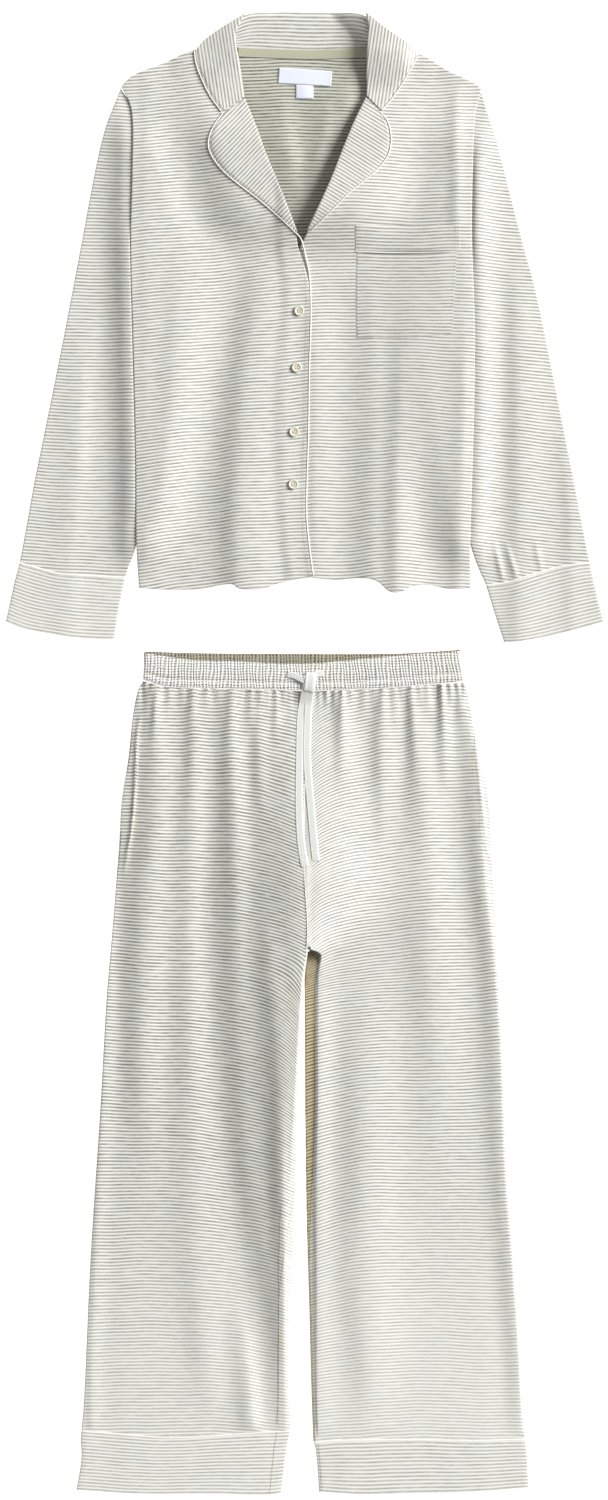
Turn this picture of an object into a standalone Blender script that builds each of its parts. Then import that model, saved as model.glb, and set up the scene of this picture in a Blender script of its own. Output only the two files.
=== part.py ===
"""Pyjama set laid flat on a table: a piped shirt with a notched collar, and wide trousers below it.

The set lies on z = 0, face up, with the collar towards +Y. Sizes in the tables are millimetres
from the middle of the set. "Right" and "left" are the wearer's, so right is at -X. The cloth is
built as walls: a grid that follows the piece's cut edges, extruded down to its inner skin.
"""

import math

import bmesh
import bpy
import numpy as np

# ---------------------------------------------------------------- driving dimensions, millimetres
MM = 0.001
CLOTH = 1.0  # wall of one layer of jersey
DOUBLE = 1.6  # wall of two layers sewn together
GAP = 0.3  # clear space between pieces that touch
PIPE = 1.1  # radius of the cord inside the piping
PIPE_CLEAR = PIPE + 3 * GAP  # from a piping's centre line to the cloth beside it
PIPE_BAND = 2.0  # width of the piping that shows in a cuff or hem band seam
PIPE_PROUD = 0.5  # how far that piping stands above the cloth

TUBE_HALF = 1.25  # half the height of a flattened sleeve or leg at its folded edges
SLACK = 0.5  # air between the shirt's layers
TUCK = 2 * TUBE_HALF + GAP + SLACK  # how high the body lies where a sleeve is under it
TUCK_FLAT = 8.0  # how far past the sleeve's edge the body stays that high
TUCK_RAMP = 36.0  # width over which the body climbs onto a sleeve
FALL_LIFT = CLOTH + 2 * GAP  # how high the back lies where the collar's fall is under it
FALL_FLAT = 6.0
FALL_RAMP = 40.0
LAP_LIFT = CLOTH + 3 * GAP  # how much higher the right front lies where it laps over the left
LAP_RAMP = 14.0
LAP = 24.0  # how far the left front reaches under the right one

BUTTON_RADIUS = 6.0
BUTTON_THICK = 2.4
BUTTON_HOLE = 0.9  # radius of each of the four thread holes
BUTTON_HOLE_AT = 1.7  # from the button's centre to each hole, along X and Y

GATHERS = 87  # folds of the elastic waist across the front, and again across the back
GATHER_RISE = 0.6
ELASTIC = 1.8  # wall of the waistband: cloth, elastic, cloth
WAIST_HALF = 2.9  # half the height of the flattened waistband
STRING_RADIUS = 2.0

# ---------------------------------------------------------------- edges, (x, y) in millimetres
BACK_NECK = [(-84, 845), (-45, 843.5), (0, 842), (45, 843), (78, 844.5)]
SHOULDER_RIGHT = [(-220, 800), (-206, 813), (-169, 828), (-134, 843)]
SHOULDER_LEFT = [(212, 797), (199, 806), (173, 818), (137, 839)]
SIDE_RIGHT = [(-199, 198), (-202, 250), (-203, 360), (-206, 490), (-209, 610), (-207, 700), (-208, 770),
              (-220, 800)]
SIDE_LEFT = [(199, 197), (198, 255), (201, 355), (203, 440), (203, 520), (200, 620), (201, 700), (204, 765),
             (212, 797)]
HEM_RIGHT = [(-199, 198), (-165, 196), (-126, 197), (-88, 203), (-80, 197.5), (-52, 197), (-30, 204), (8, 211)]
HEM_LEFT = [(8, 211), (35, 208), (70, 210), (87, 206), (101, 194), (115, 193), (129, 200), (148, 202),
            (172, 197), (199, 197)]
FRONT_EDGE = [(10, 213), (6, 240), (2, 280), (2, 320), (4, 380), (5, 455), (7, 530), (5, 575), (0, 598)]
LAPEL_EDGE_RIGHT = [(-7, 619), (-50, 658), (-93, 692), (-110, 712), (-116, 729), (-111, 748), (-98, 767)]
LAPEL_EDGE_LEFT = [(8, 626), (29, 646), (53, 670), (84, 696), (99, 715), (103, 735), (99, 756), (90, 768)]
ROLL_RIGHT = [(-9, 624), (-26, 668), (-47, 719), (-60, 755), (-72, 785)]
ROLL_LEFT = [(2, 625), (28, 680), (47, 728), (61, 761), (73, 786)]
LEAF_EDGE_RIGHT = [(-100, 768), (-114, 788), (-126, 813), (-131, 828), (-133, 842)]
LEAF_EDGE_LEFT = [(92, 770), (104, 784), (120, 808), (130, 826), (136, 838)]
LEAF_ROLL_RIGHT = [(-72, 787), (-78, 826), (-83, 862), (-70, 888)]
LEAF_ROLL_LEFT = [(74, 788), (74, 832), (76, 870), (72, 887)]
LEAF_TOP_RIGHT = [(-133, 845), (-122, 854), (-100, 870), (-70, 889)]
LEAF_TOP_LEFT = [(136, 841), (124, 850), (108, 860), (72, 888)]
STAND_SEAM = [(-88, 847), (-45, 844.5), (0, 843), (45, 844), (85, 846)]
COLLAR_FOLD = [(-98, 869), (-70, 886), (-35, 889), (35, 889), (70, 886), (100, 863)]
FALL_EDGE = [(-128, 842), (-104, 820), (-50, 808), (0, 806), (50, 808), (108, 819), (131, 839)]

SLEEVE_OUT_RIGHT = [(-342, 229), (-332, 284), (-324, 328), (-296, 466), (-270, 601), (-251, 702), (-240, 748),
                    (-230, 775), (-221, 797)]
SLEEVE_IN_RIGHT = [(-215, 211), (-202, 250), (-189, 300), (-168, 400), (-154, 466), (-142, 585)]
SLEEVE_TOP_RIGHT = [(-221, 797), (-203, 768), (-192, 720), (-174, 650), (-142, 585)]
CUFF_SEAM_RIGHT = [(-342, 229), (-320, 223), (-298, 217), (-275, 215), (-244, 213), (-215, 211)]
CUFF_OUT_RIGHT = [(-359, 157), (-349, 203), (-342, 229)]
CUFF_IN_RIGHT = [(-228, 137), (-223, 172), (-215, 211)]
CUFF_END_RIGHT = [(-359, 157), (-338, 149), (-312, 144), (-282, 139), (-251, 137), (-228, 137)]
SLEEVE_OUT_LEFT = [(342, 229), (332, 280), (323, 328), (286, 514), (274, 568), (258, 626), (242, 689),
                   (229, 739), (218, 772), (212, 794)]
SLEEVE_IN_LEFT = [(217, 202), (203, 235), (192, 275), (172, 380), (158, 466), (140, 585)]
SLEEVE_TOP_LEFT = [(212, 794), (197, 764), (186, 715), (168, 650), (140, 585)]
CUFF_SEAM_LEFT = [(342, 229), (328, 228), (300, 223), (272, 215), (245, 206), (217, 202)]
CUFF_OUT_LEFT = [(359, 157), (349, 197), (342, 229)]
CUFF_IN_LEFT = [(239, 133), (230, 160), (217, 202)]
CUFF_END_LEFT = [(359, 157), (336, 151), (313, 145), (286, 139), (258, 134), (239, 133)]

POCKET_TOP = [(62, 599), (105, 597), (150, 597), (182, 598)]
POCKET_END = [(62, 498), (110, 497), (160, 500), (176, 503)]
POCKET_IN = [(62, 498), (61, 545), (62, 599)]
POCKET_OUT = [(176, 503), (179, 550), (182, 598)]
POCKET_BAND_BOX = {"left": 60, "right": 186, "bottom": 603, "top": 632}
POCKET_SEAM = [(61, 601), (105, 599.5), (150, 599.5), (184, 601)]

WAIST_SEAM = [(-194, 88), (-167, 80), (-115, 78), (-40, 76), (30, 75.5), (95, 78), (143, 82), (191, 86)]
WAIST_TOP_FRONT = [(-192, 120), (-137, 112), (-84, 110), (-7, 107), (40, 110), (78, 114), (126, 118), (185, 122)]
WAIST_TOP_BACK = [(-193, 122), (-131, 120), (0, 119), (78, 119), (126, 120), (186, 124)]
WAIST_SIDE_RIGHT = [(-194, 88), (-193, 104), (-192, 121)]
WAIST_SIDE_LEFT = [(191, 86), (188, 104), (185, 123)]
CENTRE_SEAM = [(2, -241), (3, -205), (-1, -136), (0, -30), (3, 74)]
LEG_OUT_RIGHT = [(-268, -812), (-265, -776), (-257, -602), (-245, -419), (-238, -296), (-231, -214), (-223, -109),
                 (-220, -58), (-212, -7), (-206, 47), (-200, 76), (-194, 86)]
LEG_IN_RIGHT = [(-17, -812), (-17, -695), (-12, -541), (-7, -358), (-4, -290), (0, -252), (1, -241)]
LEG_OUT_LEFT = [(265, -822), (260, -776), (254, -664), (242, -480), (234, -296), (226, -149), (220, -55),
                (211, -7), (202, 35), (196, 70), (191, 84)]
LEG_IN_LEFT = [(10, -826), (8, -776), (5, -664), (2, -560), (1, -450), (1, -330), (3, -270), (4, -241)]
BAND_SEAM_RIGHT = [(-268, -812), (-226, -814), (-191, -816), (-170, -821), (-142, -823), (-114, -818),
                   (-77, -815), (-17, -812)]
BAND_SEAM_LEFT = [(265, -822), (199, -823), (127, -822), (44, -823), (10, -826)]
BAND_OUT_RIGHT = [(-274, -884), (-268, -845), (-269, -826), (-268, -812)]
BAND_IN_RIGHT = [(-28, -888), (-22, -838), (-17, -812)]
BAND_END_RIGHT = [(-274, -884), (-211, -888), (-128, -889), (-44, -890), (-28, -888)]
BAND_OUT_LEFT = [(269, -881), (267, -845), (265, -822)]
BAND_IN_LEFT = [(17, -886), (13, -836), (10, -826)]
BAND_END_LEFT = [(269, -881), (209, -886), (148, -888), (65, -889), (17, -886)]

# The inner edge of each sleeve where the body hides it: x for each y.
TUCK_EDGE_RIGHT = [(-216, 198), (-215, 211), (-202, 250), (-189, 300), (-168, 400), (-154, 466), (-142, 585),
                   (-174, 650), (-192, 720), (-203, 768), (-219, 800)]
TUCK_EDGE_LEFT = [(217, 198), (217, 202), (203, 235), (192, 275), (172, 380), (158, 466), (140, 585),
                  (168, 650), (186, 715), (197, 764), (212, 800)]

# ---------------------------------------------------------------- folds
# A fold is a soft ridge from (x0, y0) to (x1, y1), falling away over its width on both sides.
FOLD_COLUMNS = ("x0", "y0", "x1", "y1", "width", "height")
SHIRT_FOLDS = [
    (-52, 560, -78, 205, 22, 2.6),
    (-125, 640, -130, 230, 26, 1.8),
    (-180, 600, -170, 260, 20, 1.4),
    (42, 560, 40, 215, 24, 2.2),
    (138, 430, 128, 205, 26, 3.0),
    (-150, 760, -165, 600, 18, 1.6),
    (140, 770, 150, 660, 18, 1.4),
]
SLEEVE_FOLDS = [
    (-265, 560, -300, 300, 16, 2.0),
    (-235, 700, -262, 520, 12, 1.6),
    (258, 560, 284, 300, 16, 2.0),
    (228, 700, 246, 520, 12, 1.6),
]
LEG_FOLDS = [
    (-172, 60, -172, -110, 12, 2.2),
    (-122, 60, -126, -620, 17, 3.0),
    (-80, 55, -70, -210, 13, 2.8),
    (-214, -180, -232, -620, 14, 1.6),
    (-96, -300, -40, -770, 20, 3.2),
    (-150, -560, -140, -800, 22, 1.8),
    (-30, 50, -26, -100, 12, 1.6),
    (66, 60, 70, -230, 15, 2.4),
    (112, 60, 110, -120, 11, 2.2),
    (150, 55, 196, -90, 12, 2.6),
    (100, -180, 96, -560, 18, 2.2),
    (24, -420, 20, -760, 14, 2.4),
    (170, -260, 196, -640, 22, 2.2),
    (60, -600, 66, -800, 20, 1.6),
]

# ---------------------------------------------------------------- colours
CREAM = (0.86, 0.85, 0.79, 1.0)
JERSEY = (0.70, 0.70, 0.65, 1.0)
TAPE = (0.50, 0.49, 0.39, 1.0)
LABEL = (0.80, 0.82, 0.90, 1.0)
BUTTON = (0.78, 0.73, 0.60, 1.0)


# ---------------------------------------------------------------- plane geometry
def smooth(t):
    """0 below 0, 1 above 1, and an even S between them."""
    t = np.clip(t, 0.0, 1.0)
    return t * t * (3.0 - 2.0 * t)


def edge(points, per_span=12):
    """A smooth line through the points, as (shares of its length, x and y of its points)."""
    p = np.array(points, float)
    ends = np.vstack([2 * p[0] - p[1], p, 2 * p[-1] - p[-2]])
    t = np.linspace(0, 1, per_span, endpoint=False)[:, None]
    line = []
    for a, b, c, d in zip(ends[:-3], ends[1:-2], ends[2:-1], ends[3:]):
        reach = 0.5 * np.linalg.norm(c - b)
        into = (c - a) / max(np.linalg.norm(c - a), 1e-6) * reach
        out = (d - b) / max(np.linalg.norm(d - b), 1e-6) * reach
        line.append((2 * t**3 - 3 * t**2 + 1) * b + (t**3 - 2 * t**2 + t) * 2 * into
                    + (3 * t**2 - 2 * t**3) * c + (t**3 - t**2) * 2 * out)
    line = np.vstack([*line, p[-1:]])
    lengths = np.linalg.norm(np.diff(line, axis=0), axis=1)
    share = np.concatenate([[0], np.cumsum(lengths)])
    return share / share[-1], line


def along(line, t):
    """Points at shares t of a line from edge()."""
    share, points = line
    return np.stack([np.interp(t, share, points[:, k]) for k in range(points.shape[1])], axis=-1)


def crowd(t, amount, ends=2):
    """Shares with their steps crowded towards both ends, or towards the first one only."""
    return t - amount * np.sin(ends * math.pi * t) / (ends * math.pi)


def length_of(line):
    return float(np.linalg.norm(np.diff(line[1], axis=0), axis=1).sum())


def beside(points, distance, count=24):
    """The same line moved sideways, to its left as it runs."""
    line = edge(points)
    t = np.linspace(0, 1, count)
    ahead = along(line, np.minimum(t + 0.01, 1)) - along(line, np.maximum(t - 0.01, 0))
    normal = np.stack([-ahead[:, 1], ahead[:, 0]], axis=1) / np.linalg.norm(ahead, axis=1)[:, None]
    return (along(line, t) + distance * normal).tolist()


def x_on(points, y):
    """x of a line at height y. Its points run up or down in y."""
    line = np.array(points, float)
    line = line[np.argsort(line[:, 1])]
    return np.interp(y, line[:, 1], line[:, 0])


def make_patch(left, right, bottom, top):
    """The sheet inside four edges. Left and right run upwards, bottom and top from left to right."""
    lines = [edge(e) for e in (left, right, bottom, top)]
    corners = [np.array(c, float) for c in (left[0], right[0], left[-1], right[-1])]

    def place(a, b):
        west, east, south, north = (along(line, t) for line, t in zip(lines, (b, b, a, a)))
        a, b = a[..., None], b[..., None]
        ruled = (1 - a) * west + a * east + (1 - b) * south + b * north
        bilinear = ((1 - a) * (1 - b) * corners[0] + a * (1 - b) * corners[1]
                    + (1 - a) * b * corners[2] + a * b * corners[3])
        return ruled - bilinear

    return place


# ---------------------------------------------------------------- heights
def ridges(x, y, table):
    """Height of a table of folds at a place."""
    z = np.zeros(np.shape(x))
    for row in table:
        fold = dict(zip(FOLD_COLUMNS, row))
        run = np.array([fold["x1"] - fold["x0"], fold["y1"] - fold["y0"]], float)
        t = ((x - fold["x0"]) * run[0] + (y - fold["y0"]) * run[1]) / (run @ run)
        off = ((x - fold["x0"]) * run[1] - (y - fold["y0"]) * run[0]) / np.linalg.norm(run)
        fade = smooth(t / 0.25 + 0.4) * smooth((1 - t) / 0.25 + 0.4)
        z += fold["height"] * fade * np.exp(-(off / fold["width"]) ** 2)
    return z


def ground(x, y):
    """Height of the underside of the shirt's back: over the sleeves and the collar's fall."""
    right = smooth(1 + (x_on(TUCK_EDGE_RIGHT, y) + TUCK_FLAT - x) / TUCK_RAMP)
    left = smooth(1 + (x - x_on(TUCK_EDGE_LEFT, y) + TUCK_FLAT) / TUCK_RAMP)
    fall_y = np.interp(x, *np.array(FALL_EDGE, float).T)
    fall = smooth(1 + (y - fall_y + FALL_FLAT) / FALL_RAMP) * smooth((172 - np.abs(x)) / 30)
    return np.maximum(TUCK * np.maximum(right, left), FALL_LIFT * fall)


def puff(x, y):
    """How far the shirt's fronts stand off its back."""
    inside = smooth((205 - np.abs(x)) / 60) * smooth((800 - y) / 60) * smooth((y - 150) / 90)
    return 1.2 * inside + ridges(x, y, SHIRT_FOLDS)


def front_under(x, y):
    """Underside of the left front, and of the right one where it doesn't lap."""
    return ground(x, y) + CLOTH + GAP + SLACK + puff(x, y)


def lap(x, y):
    """How much the right front climbs over the left one's edge."""
    return LAP_LIFT * smooth((x - x_on(FRONT_EDGE, y) + LAP + LAP_RAMP) / LAP_RAMP)


def sleeve_puff(x, y):
    """Folds of the sleeves, which go flat where the body lies on them."""
    right = smooth((x_on(SIDE_RIGHT, y) - x - 3) / 12)
    left = smooth((x - x_on(SIDE_LEFT, y) - 3) / 12)
    return (ridges(x, y, SLEEVE_FOLDS) + 0.6) * np.where(x < 0, right, left)


def leg_puff(x, y):
    return ridges(x, y, LEG_FOLDS) * smooth((y + 822) / 30) * smooth((84 - y) / 30) + band_puff(x, y)


def band_puff(x, y):
    """Air inside the trouser legs, none at their edges."""
    return 0.5 * smooth((np.abs(x) - 25) / 30) * smooth((240 - np.abs(x)) / 30)


# ---------------------------------------------------------------- solids
def new_material(name, colour, roughness):
    material = bpy.data.materials.new(name)
    material.use_nodes = True
    shader = material.node_tree.nodes["Principled BSDF"]
    shader.inputs["Base Color"].default_value = colour
    shader.inputs["Roughness"].default_value = roughness
    shader.inputs["Metallic"].default_value = 0.0
    return material


def add_object(name, data, material, smooth_angle=40):
    obj = bpy.data.objects.new(name, data)
    SET.objects.link(obj)
    data.materials.append(material)
    if obj.type == "MESH":
        data.shade_smooth()
        data.set_sharp_from_angle(angle=math.radians(smooth_angle))
    obj.parent = ROOT
    return obj


def wall(name, columns, rows, skin, material, closed=False):
    """A cloth wall. skin(a, b, depth) gives points at column shares a and row shares b, for the
    outer skin (depth 0) and the inner one (depth 1). A closed wall joins its last column to its first."""
    bm = bmesh.new()
    bmesh.ops.create_grid(bm, x_segments=columns, y_segments=rows, size=0.5)
    share = bm.verts.layers.float_vector.new("share")
    for v in bm.verts:
        v[share] = (v.co.x + 0.5, v.co.y + 0.5, 0)
    set_points(bm.verts, share, skin, 0)
    if closed:
        bmesh.ops.remove_doubles(bm, verts=bm.verts, dist=1e-6)
    made = bmesh.ops.extrude_face_region(bm, geom=bm.faces[:], use_keep_orig=True)
    inner = [v for v in made["geom"] if isinstance(v, bmesh.types.BMVert)]
    set_points(inner, share, skin, 1)
    bmesh.ops.recalc_face_normals(bm, faces=bm.faces)
    bm.verts.layers.float_vector.remove(share)
    mesh = bpy.data.meshes.new(name)
    bm.to_mesh(mesh)
    bm.free()
    return add_object(name, mesh, material)


def set_points(verts, share, skin, depth):
    a, b = np.array([v[share][:2] for v in verts], float).T
    for v, point in zip(verts, skin(a, b, depth) * MM):
        v.co = point


def sheet_skin(patch, under, thick, column_at=None, row_at=None):
    """Skin of a piece that lies on something: under(x, y) is the height of its lower side."""
    def skin(a, b, depth):
        xy = patch(column_at(a) if column_at else a, row_at(b) if row_at else b)
        z = under(xy[..., 0], xy[..., 1]) + (thick if depth == 0 else 0.0)
        return np.concatenate([xy, z[..., None]], axis=-1)
    return skin


def section(p, width, half, inset, closed):
    """(across, height) of a flattened tube's section, p round it from the middle of its first edge,
    over the top and back underneath. Where closed is 0 its far edge is open and its layers lie flat."""
    arc = half * math.pi / 2
    top = width - 2 * half + 2 * arc
    under = p > top
    q = np.where(under, 2 * top - p, p)
    turn = np.clip(q / arc, 0, 1) * math.pi / 2
    back = np.clip((top - q) / arc, 0, 1) * math.pi / 2
    small = half - inset
    across = np.where(q < arc, half - small * np.cos(turn),
                      np.where(q > top - arc, width - half + small * np.cos(back), q - arc + half))
    lift = np.where(q < arc, small * np.sin(turn), np.where(q > top - arc, small * np.sin(back), small))
    far = q > top / 2
    across = np.where(far, across * closed + (1 - closed) * q * width / top, across)
    lift = np.where(far, lift * closed + (1 - closed) * small, lift)
    return across, np.where(under, half - lift, half + lift)


def panel_skin(patch, rise, span, closed, columns):
    """Skin of the part of a flattened tube that span(row shares, once round) cuts out of its ring.

    The patch's left edge is where the ring starts. rise(x, y) lifts its upper layer."""
    def skin(a, b, depth):
        width = row_width(patch, b)
        once = 2 * (width - 2 * TUBE_HALF + math.pi * TUBE_HALF)
        first, last = span(b, once)
        p = spread(a, first, last, TUBE_HALF * math.pi / 2, columns) % once
        shut = closed(patch(np.ones_like(b), b)[..., 1])
        across, z = section(p, width, TUBE_HALF, CLOTH if depth else 0.0, shut)
        return lifted(patch(across / width, b), z, p <= once / 2, rise)
    return skin


def row_width(patch, b):
    return np.linalg.norm(patch(np.ones_like(b), b) - patch(np.zeros_like(b), b), axis=-1)


def lifted(xy, z, above, rise):
    """Points of a tube with its upper layer raised by rise(x, y), fading out down its rounded edges."""
    over = smooth((z - TUBE_HALF) / (0.2 * TUBE_HALF)) * above
    return np.concatenate([xy, np.maximum(z + rise(xy[..., 0], xy[..., 1]) * over, 0.0)[..., None]], axis=-1)


def spread(a, first, last, corner, count):
    """Places from first to last for each of count columns, the first and last of them corner wide."""
    inner = np.clip((a * count - 1) / (count - 2), 0, 1)
    middle = first + corner + (last - first - 2 * corner) * inner
    return np.where(a * count < 0.5, first, np.where(a * count > count - 0.5, last, middle))


def closed_tube(name, patch, rows, material, rise, reach=(0.0, 1.0), proud=0.0, across=10):
    """A whole flattened tube: a column for each rounded quarter, and across over it and under it."""
    count = 4 + 2 * across
    stops = np.array([0.0, *np.linspace(1, 2, across + 1), 3.0, *np.linspace(4, 5, across + 1)])

    def skin(a, b, depth):
        at = reach[0] + (reach[1] - reach[0]) * b
        width = row_width(patch, at)
        arc, flat = TUBE_HALF * math.pi / 2, width - 2 * TUBE_HALF
        stop = stops[np.rint(a * count).astype(int) % count]
        p = np.select([stop < 1, stop <= 2, stop <= 3, stop <= 5],
                      [stop * arc, arc + (stop - 1) * flat, arc + flat + (stop - 2) * arc,
                       3 * arc + flat + (stop - 4) * flat], 0.0)
        across_at, z = section(p, width, TUBE_HALF, CLOTH if depth else -proud, 1.0)
        return lifted(patch(across_at / width, at), z, stop < 3, rise)

    return wall(name, count, rows, skin, material, closed=True)


def pipe(name, points, height, material, radius=PIPE, step=15.0, sides=1):
    """A round cord along a line, with its centre at height(x, y)."""
    line = edge(points)
    t = np.linspace(0, 1, max(4, round(length_of(line) / step)) + 1)
    xy = along(line, t)
    z = height(xy[:, 0], xy[:, 1])
    return tube(name, [(x, y, h) for (x, y), h in zip(xy, z)], radius, material, sides)


def tube(name, route, radius, material, sides=2, fat=None):
    """A round cord through a route's points, all of them used as they are."""
    curve = bpy.data.curves.new(name, "CURVE")
    curve.dimensions = "3D"
    curve.bevel_depth = radius * MM
    curve.bevel_resolution = sides
    curve.use_fill_caps = True
    spline = curve.splines.new("POLY")
    spline.points.add(len(route) - 1)
    for i, (point, place) in enumerate(zip(spline.points, route)):
        point.co = (*[c * MM for c in place], 1.0)
        point.radius = fat[i] if fat else 1.0
    return add_object(name, curve, material)


# ---------------------------------------------------------------- shirt
BODY_ROWS = 16


def body_rows(b):
    """Row shares of the body's panels, closer together near the collar."""
    return 1 - crowd(1 - b, 0.3, 1)


def build_back(jersey):
    top = [*SHOULDER_RIGHT, *BACK_NECK, *reversed(SHOULDER_LEFT)]
    patch = make_patch(SIDE_RIGHT, SIDE_LEFT, [*HEM_RIGHT, *HEM_LEFT[1:]], top)
    skin = sheet_skin(patch, ground, CLOTH, lambda a: crowd(a, 0.5), body_rows)
    wall("shirt_back", 18, BODY_ROWS, skin, jersey)


def build_fronts(jersey):
    inner = beside(FRONT_EDGE, PIPE_CLEAR, 12)
    neck = [(-76, 785), (-84, 820), (-90, 846)]
    edge_right = [*inner[:-1], (-8, 606), (-12, 628), *ROLL_RIGHT[1:-1], *neck]
    right = make_patch(SIDE_RIGHT, edge_right, [*HEM_RIGHT[:-1], edge_right[0]], [*SHOULDER_RIGHT, neck[-1]])
    under_right = lambda x, y: front_under(x, y) + lap(x, y)
    skin = sheet_skin(right, under_right, CLOTH, lambda a: crowd(a, 0.35, 1), body_rows)
    wall("shirt_front_right", 11, BODY_ROWS, skin, jersey)

    hidden = [(x - LAP, y) for x, y in FRONT_EDGE[:-1]]
    neck = [(77, 786), (82, 820), (90, 845)]
    edge_left = [*hidden, (-10, 598), (2, 622), *ROLL_LEFT[1:-1], *neck]
    hem = [edge_left[0], *HEM_LEFT[1:]]
    left = make_patch(edge_left, SIDE_LEFT, hem, [neck[-1], *reversed(SHOULDER_LEFT)])
    skin = sheet_skin(left, front_under, CLOTH, lambda a: 1 - crowd(1 - a, 0.35, 1), body_rows)
    wall("shirt_front_left", 11, BODY_ROWS, skin, jersey)


def lapel_under(x, y):
    """Underside of a turned-out lapel."""
    return front_under(x, y) + CLOTH + 3 * GAP


def build_lapels(jersey):
    outer = beside(LAPEL_EDGE_RIGHT, -PIPE_CLEAR, 14)[1:]
    patch = make_patch(outer, ROLL_RIGHT, [outer[0], ROLL_RIGHT[0]], [outer[-1], ROLL_RIGHT[-1]])
    under = lambda x, y: lapel_under(x, y) + lap(x, y)
    wall("lapel_right", 4, 12, sheet_skin(patch, under, DOUBLE), jersey)
    outer = beside(LAPEL_EDGE_LEFT, PIPE_CLEAR, 14)[1:]
    patch = make_patch(ROLL_LEFT, outer, [ROLL_LEFT[0], outer[0]], [ROLL_LEFT[-1], outer[-1]])
    wall("lapel_left", 4, 12, sheet_skin(patch, lapel_under, DOUBLE), jersey)


def build_collar(jersey):
    outer = beside(LEAF_EDGE_RIGHT, -PIPE_CLEAR, 8)
    patch = make_patch(outer, LEAF_ROLL_RIGHT, [outer[0], LEAF_ROLL_RIGHT[0]],
                       [outer[-1], *LEAF_TOP_RIGHT[1:-1], LEAF_ROLL_RIGHT[-1]])
    wall("collar_leaf_right", 5, 7, sheet_skin(patch, leaf_under, DOUBLE), jersey)
    outer = beside(LEAF_EDGE_LEFT, PIPE_CLEAR, 8)
    patch = make_patch(LEAF_ROLL_LEFT, outer, [LEAF_ROLL_LEFT[0], outer[0]],
                       [LEAF_ROLL_LEFT[-1], *reversed(LEAF_TOP_LEFT[1:-1]), outer[-1]])
    wall("collar_leaf_left", 5, 7, sheet_skin(patch, leaf_under, DOUBLE), jersey)
    build_collar_back(jersey)


def leaf_under(x, y):
    """Underside of a collar end: on the front, and level where it leaves the shoulder."""
    return front_under(x, np.minimum(y, 842)) + CLOTH + 3 * GAP


COLLAR_PROFILE = [  # share from the stand's seam (0) to the fold (1) to the fall's edge (2), height
    (0.0, 2.7), (0.5, 3.3), (0.9, 3.5), (1.0, 1.75), (1.1, 0.0), (1.5, 0.0), (2.0, 0.0)]


def build_collar_back(jersey):
    """One folded piece: it stands from the neck seam to the fold, and falls behind the back."""
    seam, fold, fall = edge(STAND_SEAM), edge(COLLAR_FOLD), edge(FALL_EDGE)
    profile = np.array(COLLAR_PROFILE)
    inner_height = profile[3, 1]

    def skin(a, b, depth):
        step = b * (len(profile) - 1)
        share = np.interp(step, range(len(profile)), profile[:, 0])
        z = np.interp(step, range(len(profile)), profile[:, 1])
        t = np.minimum(share, 2 - share)[..., None]
        near = np.where((share > 1)[..., None], along(fall, a), along(seam, a))
        xy = near + (along(fold, a) - near) * t
        if depth:
            z = np.where(share < 0.95, z - CLOTH, np.where(share > 1.05, z + CLOTH, inner_height))
            xy[..., 1] -= np.where((share > 0.8) & (share < 1.2), CLOTH * 1.2, 0.0)
        return np.concatenate([xy, z[..., None]], axis=-1)

    wall("collar_back", 12, len(profile) - 1, skin, jersey)


def build_sleeves(jersey, cream):
    for side, out, inner, top, seam, cuff_out, cuff_in, end in (
        ("right", SLEEVE_OUT_RIGHT, SLEEVE_IN_RIGHT, SLEEVE_TOP_RIGHT, CUFF_SEAM_RIGHT, CUFF_OUT_RIGHT,
         CUFF_IN_RIGHT, CUFF_END_RIGHT),
        ("left", SLEEVE_OUT_LEFT, SLEEVE_IN_LEFT, SLEEVE_TOP_LEFT, CUFF_SEAM_LEFT, CUFF_OUT_LEFT,
         CUFF_IN_LEFT, CUFF_END_LEFT),
    ):
        closed_tube("sleeve_" + side, make_patch(out, inner, seam, top), 9, jersey, sleeve_puff, across=8)
        cuff_and_piping("cuff_", "cuff_piping_", side, make_patch(cuff_out, cuff_in, end, seam),
                        length_of(edge(cuff_out)), jersey, cream, sleeve_puff)


def cuff_and_piping(cloth_name, piping_name, side, patch, depth, jersey, cream, rise):
    """A deep turned band, and the ring of piping in the seam above it."""
    start, end = PIPE_BAND + 4 * GAP, 4 * GAP
    closed_tube(cloth_name + side, patch, 2, jersey, rise, reach=(0, 1 - (start + GAP) / depth), across=8)
    closed_tube(piping_name + side, patch, 1, cream, rise, reach=(1 - start / depth, 1 - end / depth),
                proud=PIPE_PROUD, across=8)


def build_piping(cream):
    """Piping along the free edges, each a cord beside its panel's edge."""
    lapel = [(x, y) for x, y in reversed(LAPEL_EDGE_RIGHT)]
    corner = [(-3, 611)]
    route = [*lapel, *corner, *reversed(FRONT_EDGE)]
    edge_y = 606

    def height(x, y):
        on_lapel = lapel_under(x, y) + lap(x, y) + PIPE
        on_edge = front_under(x, y) + LAP_LIFT + CLOTH
        return on_edge + (on_lapel - on_edge) * smooth((y - edge_y) / 16)

    pipe("piping_front_right", route, height, cream)
    pipe("piping_lapel_left", LAPEL_EDGE_LEFT, lambda x, y: lapel_under(x, y) + PIPE, cream)
    over_leaf = lambda x, y: leaf_under(x, y) + PIPE
    pipe("piping_collar_right", LEAF_EDGE_RIGHT, over_leaf, cream, step=10)
    pipe("piping_collar_left", LEAF_EDGE_LEFT, over_leaf, cream, step=10)


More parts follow.
